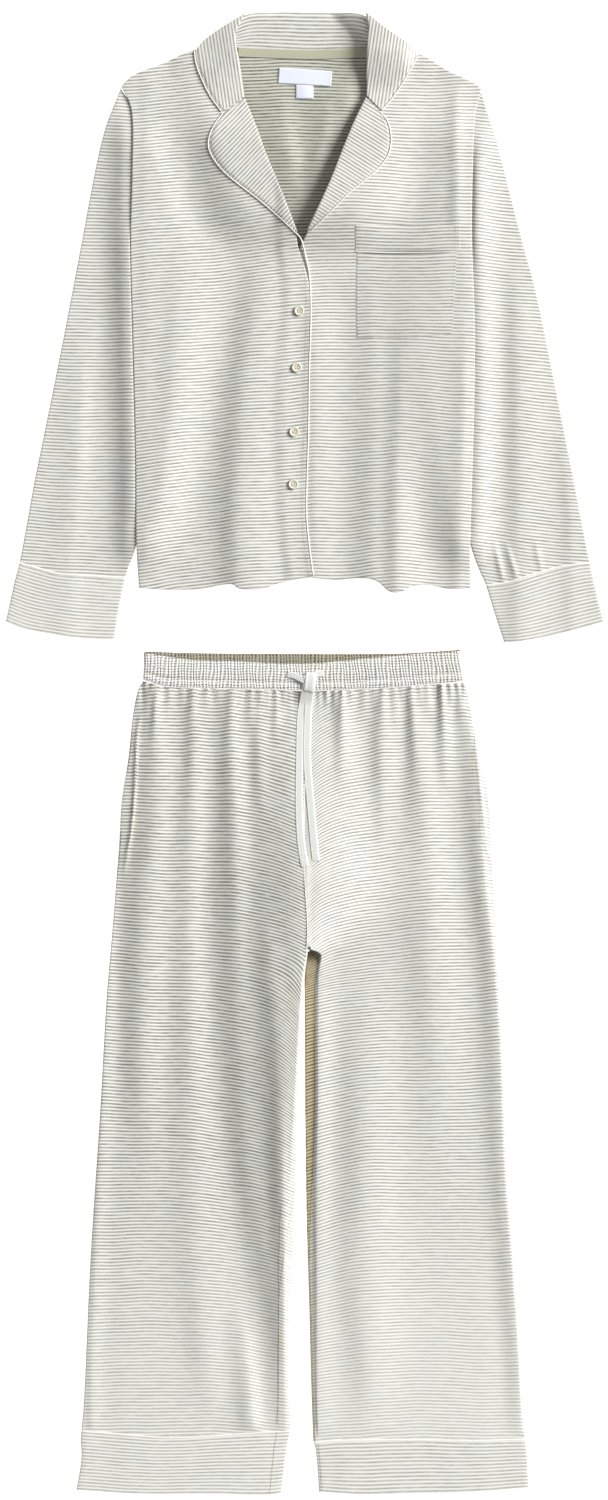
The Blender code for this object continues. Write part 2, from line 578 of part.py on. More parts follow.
def build_pocket(jersey, cream):
    """The pocket lies on the left front, its hem band above the piping."""
    on_front = lambda x, y: front_under(x, y) + CLOTH + 3 * GAP
    bag = make_patch(POCKET_IN, POCKET_OUT, POCKET_END, POCKET_TOP)
    wall("pocket", 6, 5, sheet_skin(bag, on_front, CLOTH), jersey)
    box = POCKET_BAND_BOX
    band = make_patch([(box["left"], box["bottom"]), (box["left"], box["top"])],
                      [(box["right"], box["bottom"]), (box["right"], box["top"])],
                      [(box["left"], box["bottom"]), (box["right"], box["bottom"])],
                      [(box["left"], box["top"]), (box["right"], box["top"])])
    wall("pocket_band", 6, 1, sheet_skin(band, on_front, DOUBLE), jersey)
    pipe("pocket_piping", POCKET_SEAM, lambda x, y: on_front(x, y) + PIPE, cream, radius=0.9, step=20)


def build_neck(tape, label):
    on_back = lambda x, y: ground(x, y) + CLOTH + 2 * GAP
    low = [(x * 0.96, y - 10) for x, y in BACK_NECK]
    high = [(x * 0.96, y + 1.5) for x, y in BACK_NECK]
    patch = make_patch([low[0], high[0]], [low[-1], high[-1]], low, high)
    wall("neck_tape", 8, 1, sheet_skin(patch, on_back, 0.9), tape)
    for name, x0, y0, x1, y1 in (("label", -32, 800, 34, 823), ("size_tab", -11, 785, 10, 799.5)):
        patch = make_patch([(x0, y0), (x0, y1)], [(x1, y0), (x1, y1)], [(x0, y0), (x1, y0)], [(x0, y1), (x1, y1)])
        wall(name, 2, 1, sheet_skin(patch, on_back, 0.9), label)


BUTTONS = [(-7, 530), (-10, 462), (-13, 385), (-14, 322)]  # centre of each button, top to bottom


def build_buttons(plastic):
    """A turned disc with a raised rim, drilled with four thread holes."""
    r, h = BUTTON_RADIUS * MM, BUTTON_THICK * MM
    profile = [(0, h * 0.75), (r * 0.62, h * 0.75), (r * 0.8, h), (r, h * 0.6), (r * 0.9, 0), (0, 0)]
    drill = bpy.data.meshes.new("button_drill")
    bm = bmesh.new()
    for sx, sy in ((-1, -1), (-1, 1), (1, -1), (1, 1)):
        made = bmesh.ops.create_cone(bm, cap_ends=True, segments=4, radius1=BUTTON_HOLE * MM,
                                     radius2=BUTTON_HOLE * MM, depth=4 * h)
        bmesh.ops.translate(bm, verts=made["verts"], vec=(sx * BUTTON_HOLE_AT * MM, sy * BUTTON_HOLE_AT * MM, 0))
    bm.to_mesh(drill)
    bm.free()
    for number, (x, y) in enumerate(BUTTONS, 1):
        z = float(front_under(np.array([x]), np.array([y]))[0]) + LAP_LIFT + CLOTH + GAP + 0.2
        mesh = bpy.data.meshes.new(f"button_{number}")
        bm = bmesh.new()
        verts = [bm.verts.new((px, 0, pz)) for px, pz in profile]
        for a, b in zip(verts, verts[1:]):
            bm.edges.new((a, b))
        bm.to_mesh(mesh)
        bm.free()
        button = add_object(f"button_{number}", mesh, plastic)
        button.location = (x * MM, y * MM, z * MM)
        turn = button.modifiers.new("turn", "SCREW")
        turn.steps = turn.render_steps = 12
        turn.use_merge_vertices = True
        turn.merge_threshold = 0.0001
        cutter = bpy.data.objects.new(f"drill_{number}", drill)
        CUTTERS.objects.link(cutter)
        cutter.location = button.location
        cutter.hide_render = True
        cutter.display_type = "WIRE"
        cutter.parent = ROOT
        cut = button.modifiers.new("thread holes", "BOOLEAN")
        cut.operation = "DIFFERENCE"
        cut.object = cutter


# ---------------------------------------------------------------- trousers
CROTCH_Y = -241
MOUTH_WRAP = 9.0  # how far the back shows round the front at the pocket mouth
MOUTH_TOP, MOUTH_END = 30, -135
INSEAM_WRAP = 16.0  # how far the back wraps to the front at the inseam, near the hem
LEG_COLUMNS, LEG_ROWS = 13, 16


def outseam(y):
    """How far from the outer edge the front's side seam lies."""
    return MOUTH_WRAP * smooth((MOUTH_TOP - y) / 60) * smooth((y - MOUTH_END) / 40)


def inseam(y):
    """How far from the inner edge the inseam lies on the front."""
    return INSEAM_WRAP * smooth((-480 - y) / 180)


def leg_closed(y):
    """1 where the leg is a tube, 0 above the crotch, where the halves of the trousers meet."""
    return smooth((CROTCH_Y - y) / 30)


def build_legs(jersey, cream):
    for side, out, inner, seam, band_out, band_in, band_end in (
        ("right", LEG_OUT_RIGHT, LEG_IN_RIGHT, BAND_SEAM_RIGHT, BAND_OUT_RIGHT, BAND_IN_RIGHT, BAND_END_RIGHT),
        ("left", LEG_OUT_LEFT, LEG_IN_LEFT, BAND_SEAM_LEFT, BAND_OUT_LEFT, BAND_IN_LEFT, BAND_END_LEFT),
    ):
        sign = -1 if side == "right" else 1
        centre = [(x + sign * GAP, y) for x, y in CENTRE_SEAM]
        inner_edge = [*inner[:-1], *centre]
        waist = [p for p in WAIST_SEAM if p[0] * sign > 10]
        waist = sorted(waist, key=lambda p: -abs(p[0]))
        top = [out[-1], *[(x, y - 2 * GAP) for x, y in waist[1:]], centre[-1]]
        patch = make_patch(out, inner_edge, seam, top)
        y_of = lambda rows, patch=patch: patch(np.zeros_like(rows), rows)[..., 1]

        def front_span(rows, once, y_of=y_of):
            y = y_of(rows)
            return outseam(y) + GAP / 2, once / 2 - inseam(y) - GAP / 2

        def back_span(rows, once, y_of=y_of):
            y = y_of(rows)
            return once / 2 - inseam(y) + GAP / 2, once + outseam(y) - GAP / 2

        for name, span in (("leg_front_", front_span), ("leg_back_", back_span)):
            skin = panel_skin(patch, leg_puff, span, leg_closed, LEG_COLUMNS)
            wall(name + side, LEG_COLUMNS, LEG_ROWS, skin, jersey)
        cuff_and_piping("leg_band_", "leg_piping_", side, make_patch(band_out, band_in, band_end, seam),
                        length_of(edge(band_out)), jersey, cream, band_puff)


WAIST_ROWS = [(0.0, 0.0), (0.35, -0.5), (1.0, 0.0)]  # share up the band, how full it is


def build_waistband(jersey):
    """The elastic band, a flattened ring in two halves. Its gathers run up it."""
    profile = np.array(WAIST_ROWS)
    seam = [(x, y + GAP) for x, y in WAIST_SEAM]
    sides = [[seam[0], *WAIST_SIDE_RIGHT[1:]], [seam[-1], *WAIST_SIDE_LEFT[1:]]]
    columns = 2 * GATHERS

    def band_skin(patch, above, rows):
        def skin(a, b, depth):
            share = np.interp(b * rows, range(len(profile)), profile[:, 0]) if rows > 1 else b
            full = np.interp(share, profile[:, 0], profile[:, 1])
            width = row_width(patch, share)
            top = width - 2 * WAIST_HALF + math.pi * WAIST_HALF
            p = GAP / 2 + (top - GAP) * a
            across, z = section(p, width, WAIST_HALF, ELASTIC if depth else 0.0, 1.0)
            level = smooth((z - WAIST_HALF) / 1.0)
            crest = np.where(np.rint(a * columns) % 2 == 0, GATHER_RISE, -GATHER_RISE)
            if above:
                z = z + (crest + full) * level
            else:
                z = 2 * WAIST_HALF - z + (crest * level if depth else 0.0)
            return np.concatenate([patch(across / width, share), np.maximum(z, 0.0)[..., None]], axis=-1)
        return skin

    front = make_patch([sides[0][0], *sides[0][1:-1], WAIST_TOP_FRONT[0]],
                       [sides[1][0], *sides[1][1:-1], WAIST_TOP_FRONT[-1]], seam, WAIST_TOP_FRONT)
    back = make_patch([sides[0][0], *sides[0][1:-1], WAIST_TOP_BACK[0]],
                      [sides[1][0], *sides[1][1:-1], WAIST_TOP_BACK[-1]], seam, WAIST_TOP_BACK)
    wall("waistband_front", columns, 2, band_skin(front, True, 2), jersey)
    wall("waistband_back", columns, 1, band_skin(back, False, 1), jersey)


STRING_RIGHT = [  # right free end: (x, y, height over the trousers)
    (2, 80, 1.5), (0, 72, 1.0), (-3, 60, 0.4), (-5, 45, 0.0), (-6.5, 25, 0.0), (-7.5, 5, 0.0), (-8.3, -15, 0.0),
    (-8.6, -35, 0.0), (-8.4, -55, 0.0), (-7.4, -75, 0.0), (-6, -95, 0.0), (-4.4, -112, 0.0), (-2, -124, 0.0),
    (0, -134, 0.0)]
STRING_LEFT = [
    (12, 80, 1.5), (11, 70, 1.0), (10, 56, 0.4), (9, 40, 0.0), (8, 20, 0.0), (7.2, 0, 0.0), (6.8, -20, 0.0),
    (7.2, -40, 0.0), (8.6, -60, 0.0), (10.4, -80, 0.0), (12.4, -98, 0.0), (14.2, -114, 0.0), (15.6, -129, 0.0)]
STRING_KNOT = [(-22, 93), (-14, 92), (-6, 90), (1, 88.5), (8, 88.5), (14, 90), (20, 92), (25, 93)]
KNOT_FATNESS = [0.8, 0.9, 1.2, 1.6, 1.6, 1.2, 0.9, 0.8]


def trouser_top(x, y):
    """Height of the trousers' upper side near their centre front."""
    band = 2 * WAIST_HALF + GATHER_RISE + 0.5
    leg = 2 * TUBE_HALF + leg_puff(x, y)
    return leg + (band - leg) * smooth((y - 66) / 8)


def build_drawstring(cream):
    for name, route in (("drawstring_right", STRING_RIGHT), ("drawstring_left", STRING_LEFT)):
        points = np.array(route, float)
        line = edge(points)
        t = np.linspace(0, 1, round(length_of(line) / (2.6 * 2 * STRING_RADIUS)) + 1)
        route_points = along(line, t)
        z = trouser_top(route_points[:, 0], route_points[:, 1]) + STRING_RADIUS + GAP + route_points[:, 2]
        tube(name, [(x, y, h) for (x, y, _), h in zip(route_points, z)], STRING_RADIUS, cream)
    knot = np.array(STRING_KNOT, float)
    fat = np.array(KNOT_FATNESS)
    z = trouser_top(knot[:, 0], knot[:, 1]) + STRING_RADIUS * fat + GAP
    tube("drawstring_knot", [(x, y, h) for (x, y), h in zip(knot, z)], STRING_RADIUS, cream, fat=KNOT_FATNESS)


# ---------------------------------------------------------------- assembly
for stale in list(bpy.data.objects):
    bpy.data.objects.remove(stale, do_unlink=True)
SET = bpy.data.collections.new("pyjama_set")
CUTTERS = bpy.data.collections.new("pyjama_set_cutters")
for collection in (SET, CUTTERS):
    bpy.context.scene.collection.children.link(collection)
CUTTERS.hide_render = True
ROOT = bpy.data.objects.new("pyjama_set_root", None)
SET.objects.link(ROOT)

jersey_cloth = new_material("striped_jersey", JERSEY, 0.85)
cream_piping = new_material("cream_piping", CREAM, 0.7)
build_back(jersey_cloth)
build_fronts(jersey_cloth)
build_lapels(jersey_cloth)
build_collar(jersey_cloth)
build_sleeves(jersey_cloth, cream_piping)
build_piping(cream_piping)
build_pocket(jersey_cloth, cream_piping)
build_neck(new_material("neck_tape", TAPE, 0.8), new_material("label", LABEL, 0.5))
build_buttons(new_material("button_plastic", BUTTON, 0.35))
build_legs(jersey_cloth, cream_piping)
build_waistband(jersey_cloth)
build_drawstring(cream_piping)
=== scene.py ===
"""A pyjama set laid flat on a white table: a piped shirt with a notched collar above wide trousers.

Sizes in the tables are millimetres from the middle of the set, with the collar towards +Y. "Right"
and "left" are the wearer's, so right is at -X. Each piece keeps the outline of its solid and is a
thin shell of cloth with its own folds, seams and stitching.
"""

import functools
import math

import bmesh
import bpy
import numpy as np
from mathutils import Matrix, Vector


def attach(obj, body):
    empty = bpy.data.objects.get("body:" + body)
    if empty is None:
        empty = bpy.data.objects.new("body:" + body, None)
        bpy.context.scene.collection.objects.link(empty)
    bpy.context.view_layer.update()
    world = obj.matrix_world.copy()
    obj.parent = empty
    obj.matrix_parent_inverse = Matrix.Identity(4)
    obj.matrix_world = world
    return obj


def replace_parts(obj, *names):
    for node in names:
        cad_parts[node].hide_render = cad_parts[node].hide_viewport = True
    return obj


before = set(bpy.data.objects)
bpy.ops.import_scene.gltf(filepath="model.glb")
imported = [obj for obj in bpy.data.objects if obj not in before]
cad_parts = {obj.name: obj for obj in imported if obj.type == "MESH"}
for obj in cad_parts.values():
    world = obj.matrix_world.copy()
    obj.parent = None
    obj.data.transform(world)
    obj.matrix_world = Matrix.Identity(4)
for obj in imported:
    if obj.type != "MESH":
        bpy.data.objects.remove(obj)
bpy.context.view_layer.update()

# ---------------------------------------------------------------- table, camera and lamp
# A white table top seen from straight above, one broad soft lamp low on the right and a little
# behind the collar, and a pale room that fills the shadows.
MM = 0.001
LAMP_HEIGHT = math.radians(26)  # how far above the table the lamp stands
LAMP_TURN = math.radians(24)  # how far round it stands from the right towards the collar
LAMP_SIZE = math.radians(30)
LAMP_POWER = 6.25
ROOM_LIGHT = 0.335
CAMERA_PLACE = (-0.0012, 0.0036, 6.0)  # metres, over the middle of the set
CAMERA_LENS = 120
TABLE_REACH = 20  # metres from the middle to each side
TABLE_TOP = -0.0006  # metres, just clear of the cloth
TABLE_GLOW = 0.8
WHITE = (1, 1, 1, 1)

scene = bpy.context.scene
scene.view_settings.view_transform = "Standard"


def placed(name, data):
    """A new object in the scene."""
    made = bpy.data.objects.new(name, data)
    scene.collection.objects.link(made)
    return made


camera = placed("camera", bpy.data.cameras.new("camera"))
camera.data.lens = CAMERA_LENS
camera.location = CAMERA_PLACE
scene.camera = camera

lamp = placed("lamp", bpy.data.lights.new("lamp", "SUN"))
lamp.data.energy = LAMP_POWER
lamp.data.angle = LAMP_SIZE
towards_lamp = Vector((math.cos(LAMP_HEIGHT) * math.cos(LAMP_TURN),
                       math.cos(LAMP_HEIGHT) * math.sin(LAMP_TURN), math.sin(LAMP_HEIGHT)))
lamp.rotation_euler = towards_lamp.to_track_quat("Z", "Y").to_euler()

room = bpy.data.worlds.new("room")
room.use_nodes = True
room.node_tree.nodes["Background"].inputs["Color"].default_value = WHITE
room.node_tree.nodes["Background"].inputs["Strength"].default_value = ROOM_LIGHT
scene.world = room


def node(tree, kind, inputs=None, **settings):
    """Adds a node. Each input is a number, a colour or another node's output."""
    made = tree.nodes.new(kind)
    for name, value in settings.items():
        setattr(made, name, value)
    for name, value in (inputs or {}).items():
        if isinstance(value, bpy.types.NodeSocket):
            tree.links.new(value, made.inputs[name])
        else:
            made.inputs[name].default_value = value
    return made


def new_finish(name, looks):
    """A material as (itself, its tree, its shader), with the plain values of its shader."""
    finish = bpy.data.materials.new(name)
    finish.use_nodes = True
    shader = finish.node_tree.nodes["Principled BSDF"]
    for socket, value in looks.items():
        shader.inputs[socket].default_value = value
    return finish, finish.node_tree, shader


table_top = bpy.data.meshes.new("table")
table_top.from_pydata([(x * TABLE_REACH, y * TABLE_REACH, TABLE_TOP)
                       for x, y in ((-1, -1), (1, -1), (1, 1), (-1, 1))], [], [(0, 1, 2, 3)])
table_top.materials.append(new_finish("table_white", {
    "Roughness": 0.9, "Base Color": (0.86, 0.86, 0.86, 1), "Emission Color": WHITE,
    "Emission Strength": TABLE_GLOW})[0])
placed("table", table_top)

# ---------------------------------------------------------------- shirt back
# The back is one panel of striped cotton jersey, cut across the stripes. It lies over the tops of
# the sleeves at both sides and over the turned-down collar at the neck.
CLOTH = 0.6  # thickness of one layer of jersey
DOUBLE = 1.1  # two layers sewn together
LAYER = 1.0  # space each layer takes in the pile
GAP = 0.3
SLACK = 0.2
TUBE_HALF = 1.25  # half the height of a flattened sleeve or leg at its folded edges
TUCK = 2 * TUBE_HALF + GAP + SLACK  # how high the body lies where a sleeve is under it
TUCK_FLAT, TUCK_RAMP = 8.0, 58.0  # how far it stays that high, and how far it takes to come down
FALL_LIFT, FALL_FLAT, FALL_RAMP = 1.6, 6.0, 40.0  # the same over the turned-down collar
STRIPE_PITCH = 0.0040
ECRU = (0.745, 0.738, 0.695, 1)
STRIPE = (0.285, 0.290, 0.258, 1)

BACK_NECK = [(-84, 845), (-45, 843.5), (0, 842), (45, 843), (78, 844.5)]
SHOULDER_RIGHT = [(-220, 800), (-206, 813), (-169, 828), (-134, 843)]
SHOULDER_LEFT = [(212, 797), (199, 806), (173, 818), (137, 839)]
SIDE_RIGHT = [(-199, 198), (-202, 250), (-203, 360), (-206, 490), (-209, 610), (-207, 700), (-208, 770),
              (-220, 800)]
SIDE_LEFT = [(199, 197), (198, 255), (201, 355), (203, 440), (203, 520), (200, 620), (201, 700), (204, 765),
             (212, 797)]
HEM_RIGHT = [(-199, 198), (-165, 196), (-126, 197), (-88, 203), (-80, 197.5), (-52, 197), (-30, 204), (8, 211)]
HEM_LEFT = [(8, 211), (35, 208), (70, 210), (87, 206), (101, 194), (115, 193), (129, 200), (148, 202),
            (172, 197), (199, 197)]
FALL_EDGE = [(-128, 842), (-104, 820), (-50, 808), (0, 806), (50, 808), (108, 819), (131, 839)]
TUCK_EDGE_RIGHT = [(-216, 198), (-215, 211), (-202, 250), (-189, 300), (-168, 400), (-154, 466), (-142, 585),
                   (-174, 650), (-192, 720), (-203, 768), (-219, 800)]
TUCK_EDGE_LEFT = [(217, 198), (217, 202), (203, 235), (192, 275), (172, 380), (158, 466), (140, 585),
                  (168, 650), (186, 715), (197, 764), (212, 800)]
CREASE_COLUMNS = ("x", "y", "height", "left", "right")  # left and right are the widths of its flanks
ARM_RISE = 7.5  # a sleeve bulges this much beside the body


def smooth(t):
    """0 below 0, 1 above 1, and an even S between them."""
    t = np.clip(t, 0.0, 1.0)
    return t * t * (3.0 - 2.0 * t)


def ramp(value, start, end):
    """0 up to start and 1 from end on, with an even S between them. It may run either way."""
    return smooth((value - start) / (end - start))


def edge(points, per_span=12):
    """A smooth line through the points, as (shares of its length, its points)."""
    p = np.array(points, float)
    ends = np.vstack([2 * p[0] - p[1], p, 2 * p[-1] - p[-2]])
    t = np.linspace(0, 1, per_span, endpoint=False)[:, None]
    line = []
    for a, b, c, d in zip(ends[:-3], ends[1:-2], ends[2:-1], ends[3:]):
        reach = 0.5 * np.linalg.norm(c - b)
        into = (c - a) / max(np.linalg.norm(c - a), 1e-6) * reach
        out = (d - b) / max(np.linalg.norm(d - b), 1e-6) * reach
        line.append((2 * t**3 - 3 * t**2 + 1) * b + (t**3 - 2 * t**2 + t) * 2 * into
                    + (3 * t**2 - 2 * t**3) * c + (t**3 - t**2) * 2 * out)
    line = np.vstack([*line, p[-1:]])
    share = np.concatenate([[0], np.cumsum(np.linalg.norm(np.diff(line, axis=0), axis=1))])
    return share / share[-1], line


def along(line, t):
    """Points at shares t of a line from edge()."""
    share, points = line
    return np.stack([np.interp(t, share, points[:, k]) for k in range(points.shape[1])], axis=-1)


def length_of(points):
    return float(np.linalg.norm(np.diff(edge(points)[1], axis=0), axis=1).sum())


def beside(points, distance, count=24):
    """The same line moved sideways, to its left as it runs."""
    line = edge(points)
    t = np.linspace(0, 1, count)
    ahead = along(line, np.minimum(t + 0.01, 1)) - along(line, np.maximum(t - 0.01, 0))
    normal = np.stack([-ahead[:, 1], ahead[:, 0]], axis=1) / np.linalg.norm(ahead, axis=1)[:, None]
    return (along(line, t) + distance * normal).tolist()


def x_on(points, y):
    """x of a line at height y. Its points run up or down in y."""
    line = np.array(points, float)
    line = line[np.argsort(line[:, 1])]
    return np.interp(y, line[:, 1], line[:, 0])


def make_patch(left, right, bottom, top):
    """The sheet inside four edges. Left and right run upwards, bottom and top from left to right."""
    lines = [edge(e) for e in (left, right, bottom, top)]
    corners = [np.array(c, float) for c in (left[0], right[0], left[-1], right[-1])]

    def place(a, b):
        west, east, south, north = (along(line, t) for line, t in zip(lines, (b, b, a, a)))
        a, b = a[..., None], b[..., None]
        ruled = (1 - a) * west + a * east + (1 - b) * south + b * north
        bilinear = ((1 - a) * (1 - b) * corners[0] + a * (1 - b) * corners[1]
                    + (1 - a) * b * corners[2] + a * b * corners[3])
        return ruled - bilinear

    return place


def framed(bottom, top):
    """The sheet between two edges, with straight sides."""
    return make_patch([bottom[0], top[0]], [bottom[-1], top[-1]], bottom, top)


def raised(*heights):
    """The sum of some heights, each a number or a function of x and y, as one such function."""
    return lambda x, y: sum(height(x, y) if callable(height) else height for height in heights)


def arm_rise(x, y):
    """The sleeves bulge beside the body, and the body's edge rides on the bulge."""
    out = np.where(x < 0, x_on(SIDE_RIGHT, y) - x, x - x_on(SIDE_LEFT, y))
    bulge = np.exp(-((out - 2) / np.where(out > 2, 21, 62)) ** 2)
    return ARM_RISE * bulge * ramp(y, 790, 720) * ramp(y, 208, 258)


def ground(x, y):
    """Height of the underside of the shirt's back: over the sleeves and the collar's fall."""
    right = smooth(1 + (x_on(TUCK_EDGE_RIGHT, y) + TUCK_FLAT - x) / TUCK_RAMP)
    left = smooth(1 + (x - x_on(TUCK_EDGE_LEFT, y) + TUCK_FLAT) / TUCK_RAMP)
    fall_y = np.interp(x, *np.array(FALL_EDGE, float).T)
    fall = smooth(1 + (y - fall_y + FALL_FLAT) / FALL_RAMP) * ramp(np.abs(x), 172, 142)
    return np.maximum((TUCK + arm_rise(x, y)) * np.maximum(right, left), FALL_LIFT * fall)


def creased(x, y, creases):
    """Height of soft creases. Each runs up the cloth through its points."""
    z = np.zeros(np.shape(x))
    for crease in creases:
        line = edge(crease, 6)[1]
        line = line[np.argsort(line[:, 1])]
        middle, high, left, right = (np.interp(y, line[:, 1], line[:, CREASE_COLUMNS.index(k)])
                                     for k in ("x", "height", "left", "right"))
        lean = np.interp(y + 3, line[:, 1], line[:, 0]) - np.interp(y - 3, line[:, 1], line[:, 0])
        off = (x - middle) / np.hypot(1, lean / 6)
        z += high * np.exp(-(off / np.where(off < 0, left, right)) ** 2)
    return z


def grid(columns, rows):
    """Column and row shares of a grid's points."""
    return np.meshgrid(np.linspace(0, 1, columns + 1), np.linspace(0, 1, rows + 1))


def ripple(x, y):
    """The slow wander of the knitted stripes, in millimetres."""
    return (1.4 * np.sin(x / 41 + y / 160) + 0.5 * np.sin(x / 19 - y / 95 + 1.7)
            + 0.2 * np.sin(x / 8 + y / 41 + 0.6))


def grain(x, y, rise=0.0, sag=0.0):
    """Cloth coordinates in metres: along the stripes and across them. The stripes climb to the right
    by rise, bend over the folds by sag, and wander a little."""
    return np.stack([x, y - rise * x - sag + ripple(x, y)], axis=-1) * MM


def shell(name, outer, inner, cloth_at, finish, slot, around=False):
    """A thin shell between two grids of points in millimetres, closed at its rims, with the cloth
    coordinates as its UV map. Where it goes around, its last column joins its first."""
    rows, columns = outer.shape[:2]
    spans = columns if around else columns - 1
    r, c = np.divmod(np.arange((rows - 1) * spans), spans)
    corners = [(r, c), (r, c + 1), (r + 1, c + 1), (r + 1, c)]
    faces = [[(*corner, 0) for corner in corners], [(*corner, 1) for corner in corners[::-1]]]
    across, up = np.arange(spans + 1), np.arange(rows)
    rims = [(0 * across, across), (0 * across + rows - 1, across[::-1])]  # with the cloth to their left
    if not around:
        rims += [(up[::-1], 0 * up), (up, 0 * up + columns - 1)]
    for rr, cc in rims:
        here, after = (rr[:-1], cc[:-1]), (rr[1:], cc[1:])
        faces.append([(*after, 0), (*here, 0), (*here, 1), (*after, 1)])
    count, stride = rows * columns, cloth_at.shape[1]
    verts = np.concatenate([np.stack([rr * columns + cc % columns + side * count for rr, cc, side in face], axis=1)
                            for face in faces])
    uvs = np.concatenate([np.stack([rr * stride + cc for rr, cc, _ in face], axis=1) for face in faces])
    points = np.concatenate([outer.reshape(-1, 3), inner.reshape(-1, 3)]) * MM
    quads = points[verts[:len(r)]]
    facing = np.cross(quads[:, 2] - quads[:, 0], quads[:, 3] - quads[:, 1])
    outward = quads[:, 0] - points[verts[:len(r), 0] + count]
    if np.sum(facing * outward) < 0:
        verts, uvs = verts[:, ::-1], uvs[:, ::-1]
    mesh = bpy.data.meshes.new(name)
    mesh.from_pydata(points.tolist(), [], verts.tolist())
    layer = mesh.uv_layers.new(name="cloth")
    layer.data.foreach_set("uv", cloth_at.reshape(-1, 2)[uvs.ravel()].ravel())
    return add_piece(name, mesh, finish)


def add_piece(name, mesh, finish, smooth_angle=50):
    piece = placed(name, mesh)
    mesh.materials.append(finish)
    mesh.shade_smooth()
    mesh.set_sharp_from_angle(angle=math.radians(smooth_angle))
    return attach(piece, "root")


RIM = 1.6  # a sewn or folded edge rounds off over this width


def rim_stops(count, width, rim):
    """Shares of a row of points, with four of them close together at each end."""
    near = rim / width
    close = np.array([0.0, 0.25, 0.6]) * near
    return np.concatenate([close, np.linspace(near, 1 - near, count - 5), 1 - close[::-1]])


def rounded(share, width, rim=RIM):
    """0 at the rim of a sheet, rising like a quarter round to 1 just inside it."""
    near = np.clip(np.minimum(share, 1 - share) * width / rim, 0, 1)
    return np.sqrt(np.maximum(1 - (1 - near) ** 2, 0.0))


def lay(name, patch, size, under, cloth_at=None, finish=None, thick=CLOTH, slot="striped_jersey",
        rim=RIM):
    """A sheet of cloth on something: under(x, y) is the height of its lower side. Its rims are rounded."""
    corners = patch(np.array([0.0, 1.0, 0.0, 1.0]), np.array([0.0, 0.0, 1.0, 1.0]))
    wide = 0.5 * (np.linalg.norm(corners[1] - corners[0]) + np.linalg.norm(corners[3] - corners[2]))
    tall = 0.5 * (np.linalg.norm(corners[2] - corners[0]) + np.linalg.norm(corners[3] - corners[1]))
    a, b = np.meshgrid(rim_stops(size[0], wide, rim), rim_stops(size[1], tall, rim))
    xy = patch(a, b)
    x, y = xy[..., 0], xy[..., 1]
    z = under(x, y)
    full = 0.2 + 0.8 * np.minimum(rounded(a, wide, rim), rounded(b, tall, rim))
    outer = np.stack([x, y, z + thick * full], axis=-1)
    inner = np.stack([x, y, z], axis=-1)
    uv = cloth_at(x, y) if cloth_at else grain(x, y)
    return shell(name, outer, inner, uv, finish or striped_jersey, slot)


def cloth_for(solid, piece):
    """The piece stands for a solid, whose part is hidden."""
    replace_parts(piece, solid)


def calc(tree, operation, a, b=0.0, clamp=False):
    return node(tree, "ShaderNodeMath", {0: a, 1: b}, operation=operation, use_clamp=clamp).outputs[0]


def arithmetic(tree):
    """Four functions that add, take away, multiply and divide in a tree."""
    return [functools.partial(calc, tree, name) for name in ("ADD", "SUBTRACT", "MULTIPLY", "DIVIDE")]


def zigzag(tree, value, pitch):
    """Up from 0 to 0.5 and down again, once each pitch."""
    return calc(tree, "PINGPONG", calc(tree, "DIVIDE", value, pitch), 0.5)


def ranged(tree, value, low, high, to_low=0.0, to_high=1.0, kind="LINEAR"):
    """A value between low and high, moved to between to_low and to_high."""
    return node(tree, "ShaderNodeMapRange",
                {"Value": value, "From Min": low, "From Max": high, "To Min": to_low, "To Max": to_high},
                interpolation_type=kind).outputs[0]


def noise(tree, where, scale, detail, **more):
    made = node(tree, "ShaderNodeTexNoise", {"Vector": where, "Scale": scale, "Detail": detail, **more})
    return made.outputs["Fac"]


def blend(tree, share, first, second, **settings):
    """A colour at a share of the way from the first to the second."""
    return node(tree, "ShaderNodeMix", {"Factor": share, 6: first, 7: second}, data_type="RGBA",
                **settings).outputs[2]


def dress(tree, shader, colour, relief, strength, distance):
    """Gives a shader its colour and its bump."""
    bump = node(tree, "ShaderNodeBump", {"Height": relief, "Strength": strength, "Distance": distance})
    tree.links.new(colour, shader.inputs["Base Color"])
    tree.links.new(bump.outputs[0], shader.inputs["Normal"])


def effect(name, sockets, kind="ShaderNodeTree"):
    """A node group with inputs of a (type, value), as (itself, its inputs as seen inside it)."""
    group = bpy.data.node_groups.new(name, kind)
    for label, (socket_type, value) in sockets.items():
        made = group.interface.new_socket(label, in_out="INPUT", socket_type="NodeSocket" + socket_type)
        if value is not None:
            made.default_value = value
    return group, group.nodes.new("NodeGroupInput").outputs


def put_out(group, **results):
    """Gives a node group its outputs, each with a (type, source)."""
    for label, (socket_type, _) in results.items():
        group.interface.new_socket(label, in_out="OUTPUT", socket_type="NodeSocket" + socket_type)
    made = group.nodes.new("NodeGroupOutput")
    for label, (_, source) in results.items():
        group.links.new(source, made.inputs[label])
    return group


def jersey_knit():
    """Node group: the fine loops of the knit, as a height."""
    group, given = effect("jersey_knit", {"Place": ("Vector", None), "Wale": ("Float", 0.0009),
                                          "Course": ("Float", 0.0007)})
    add, _, times, over = arithmetic(group)
    place = node(group, "ShaderNodeSeparateXYZ", {0: given["Place"]}).outputs
    wale = zigzag(group, place[0], given["Wale"])
    course = add(over(place[1], given["Course"]), times(wale, 1.2))
    return put_out(group, Height=("Float", add(wale, calc(group, "PINGPONG", course, 0.5))))


PALE_FROM, PALE_TO = -0.42, -0.78  # y between which painted light makes the stripes paler, in metres
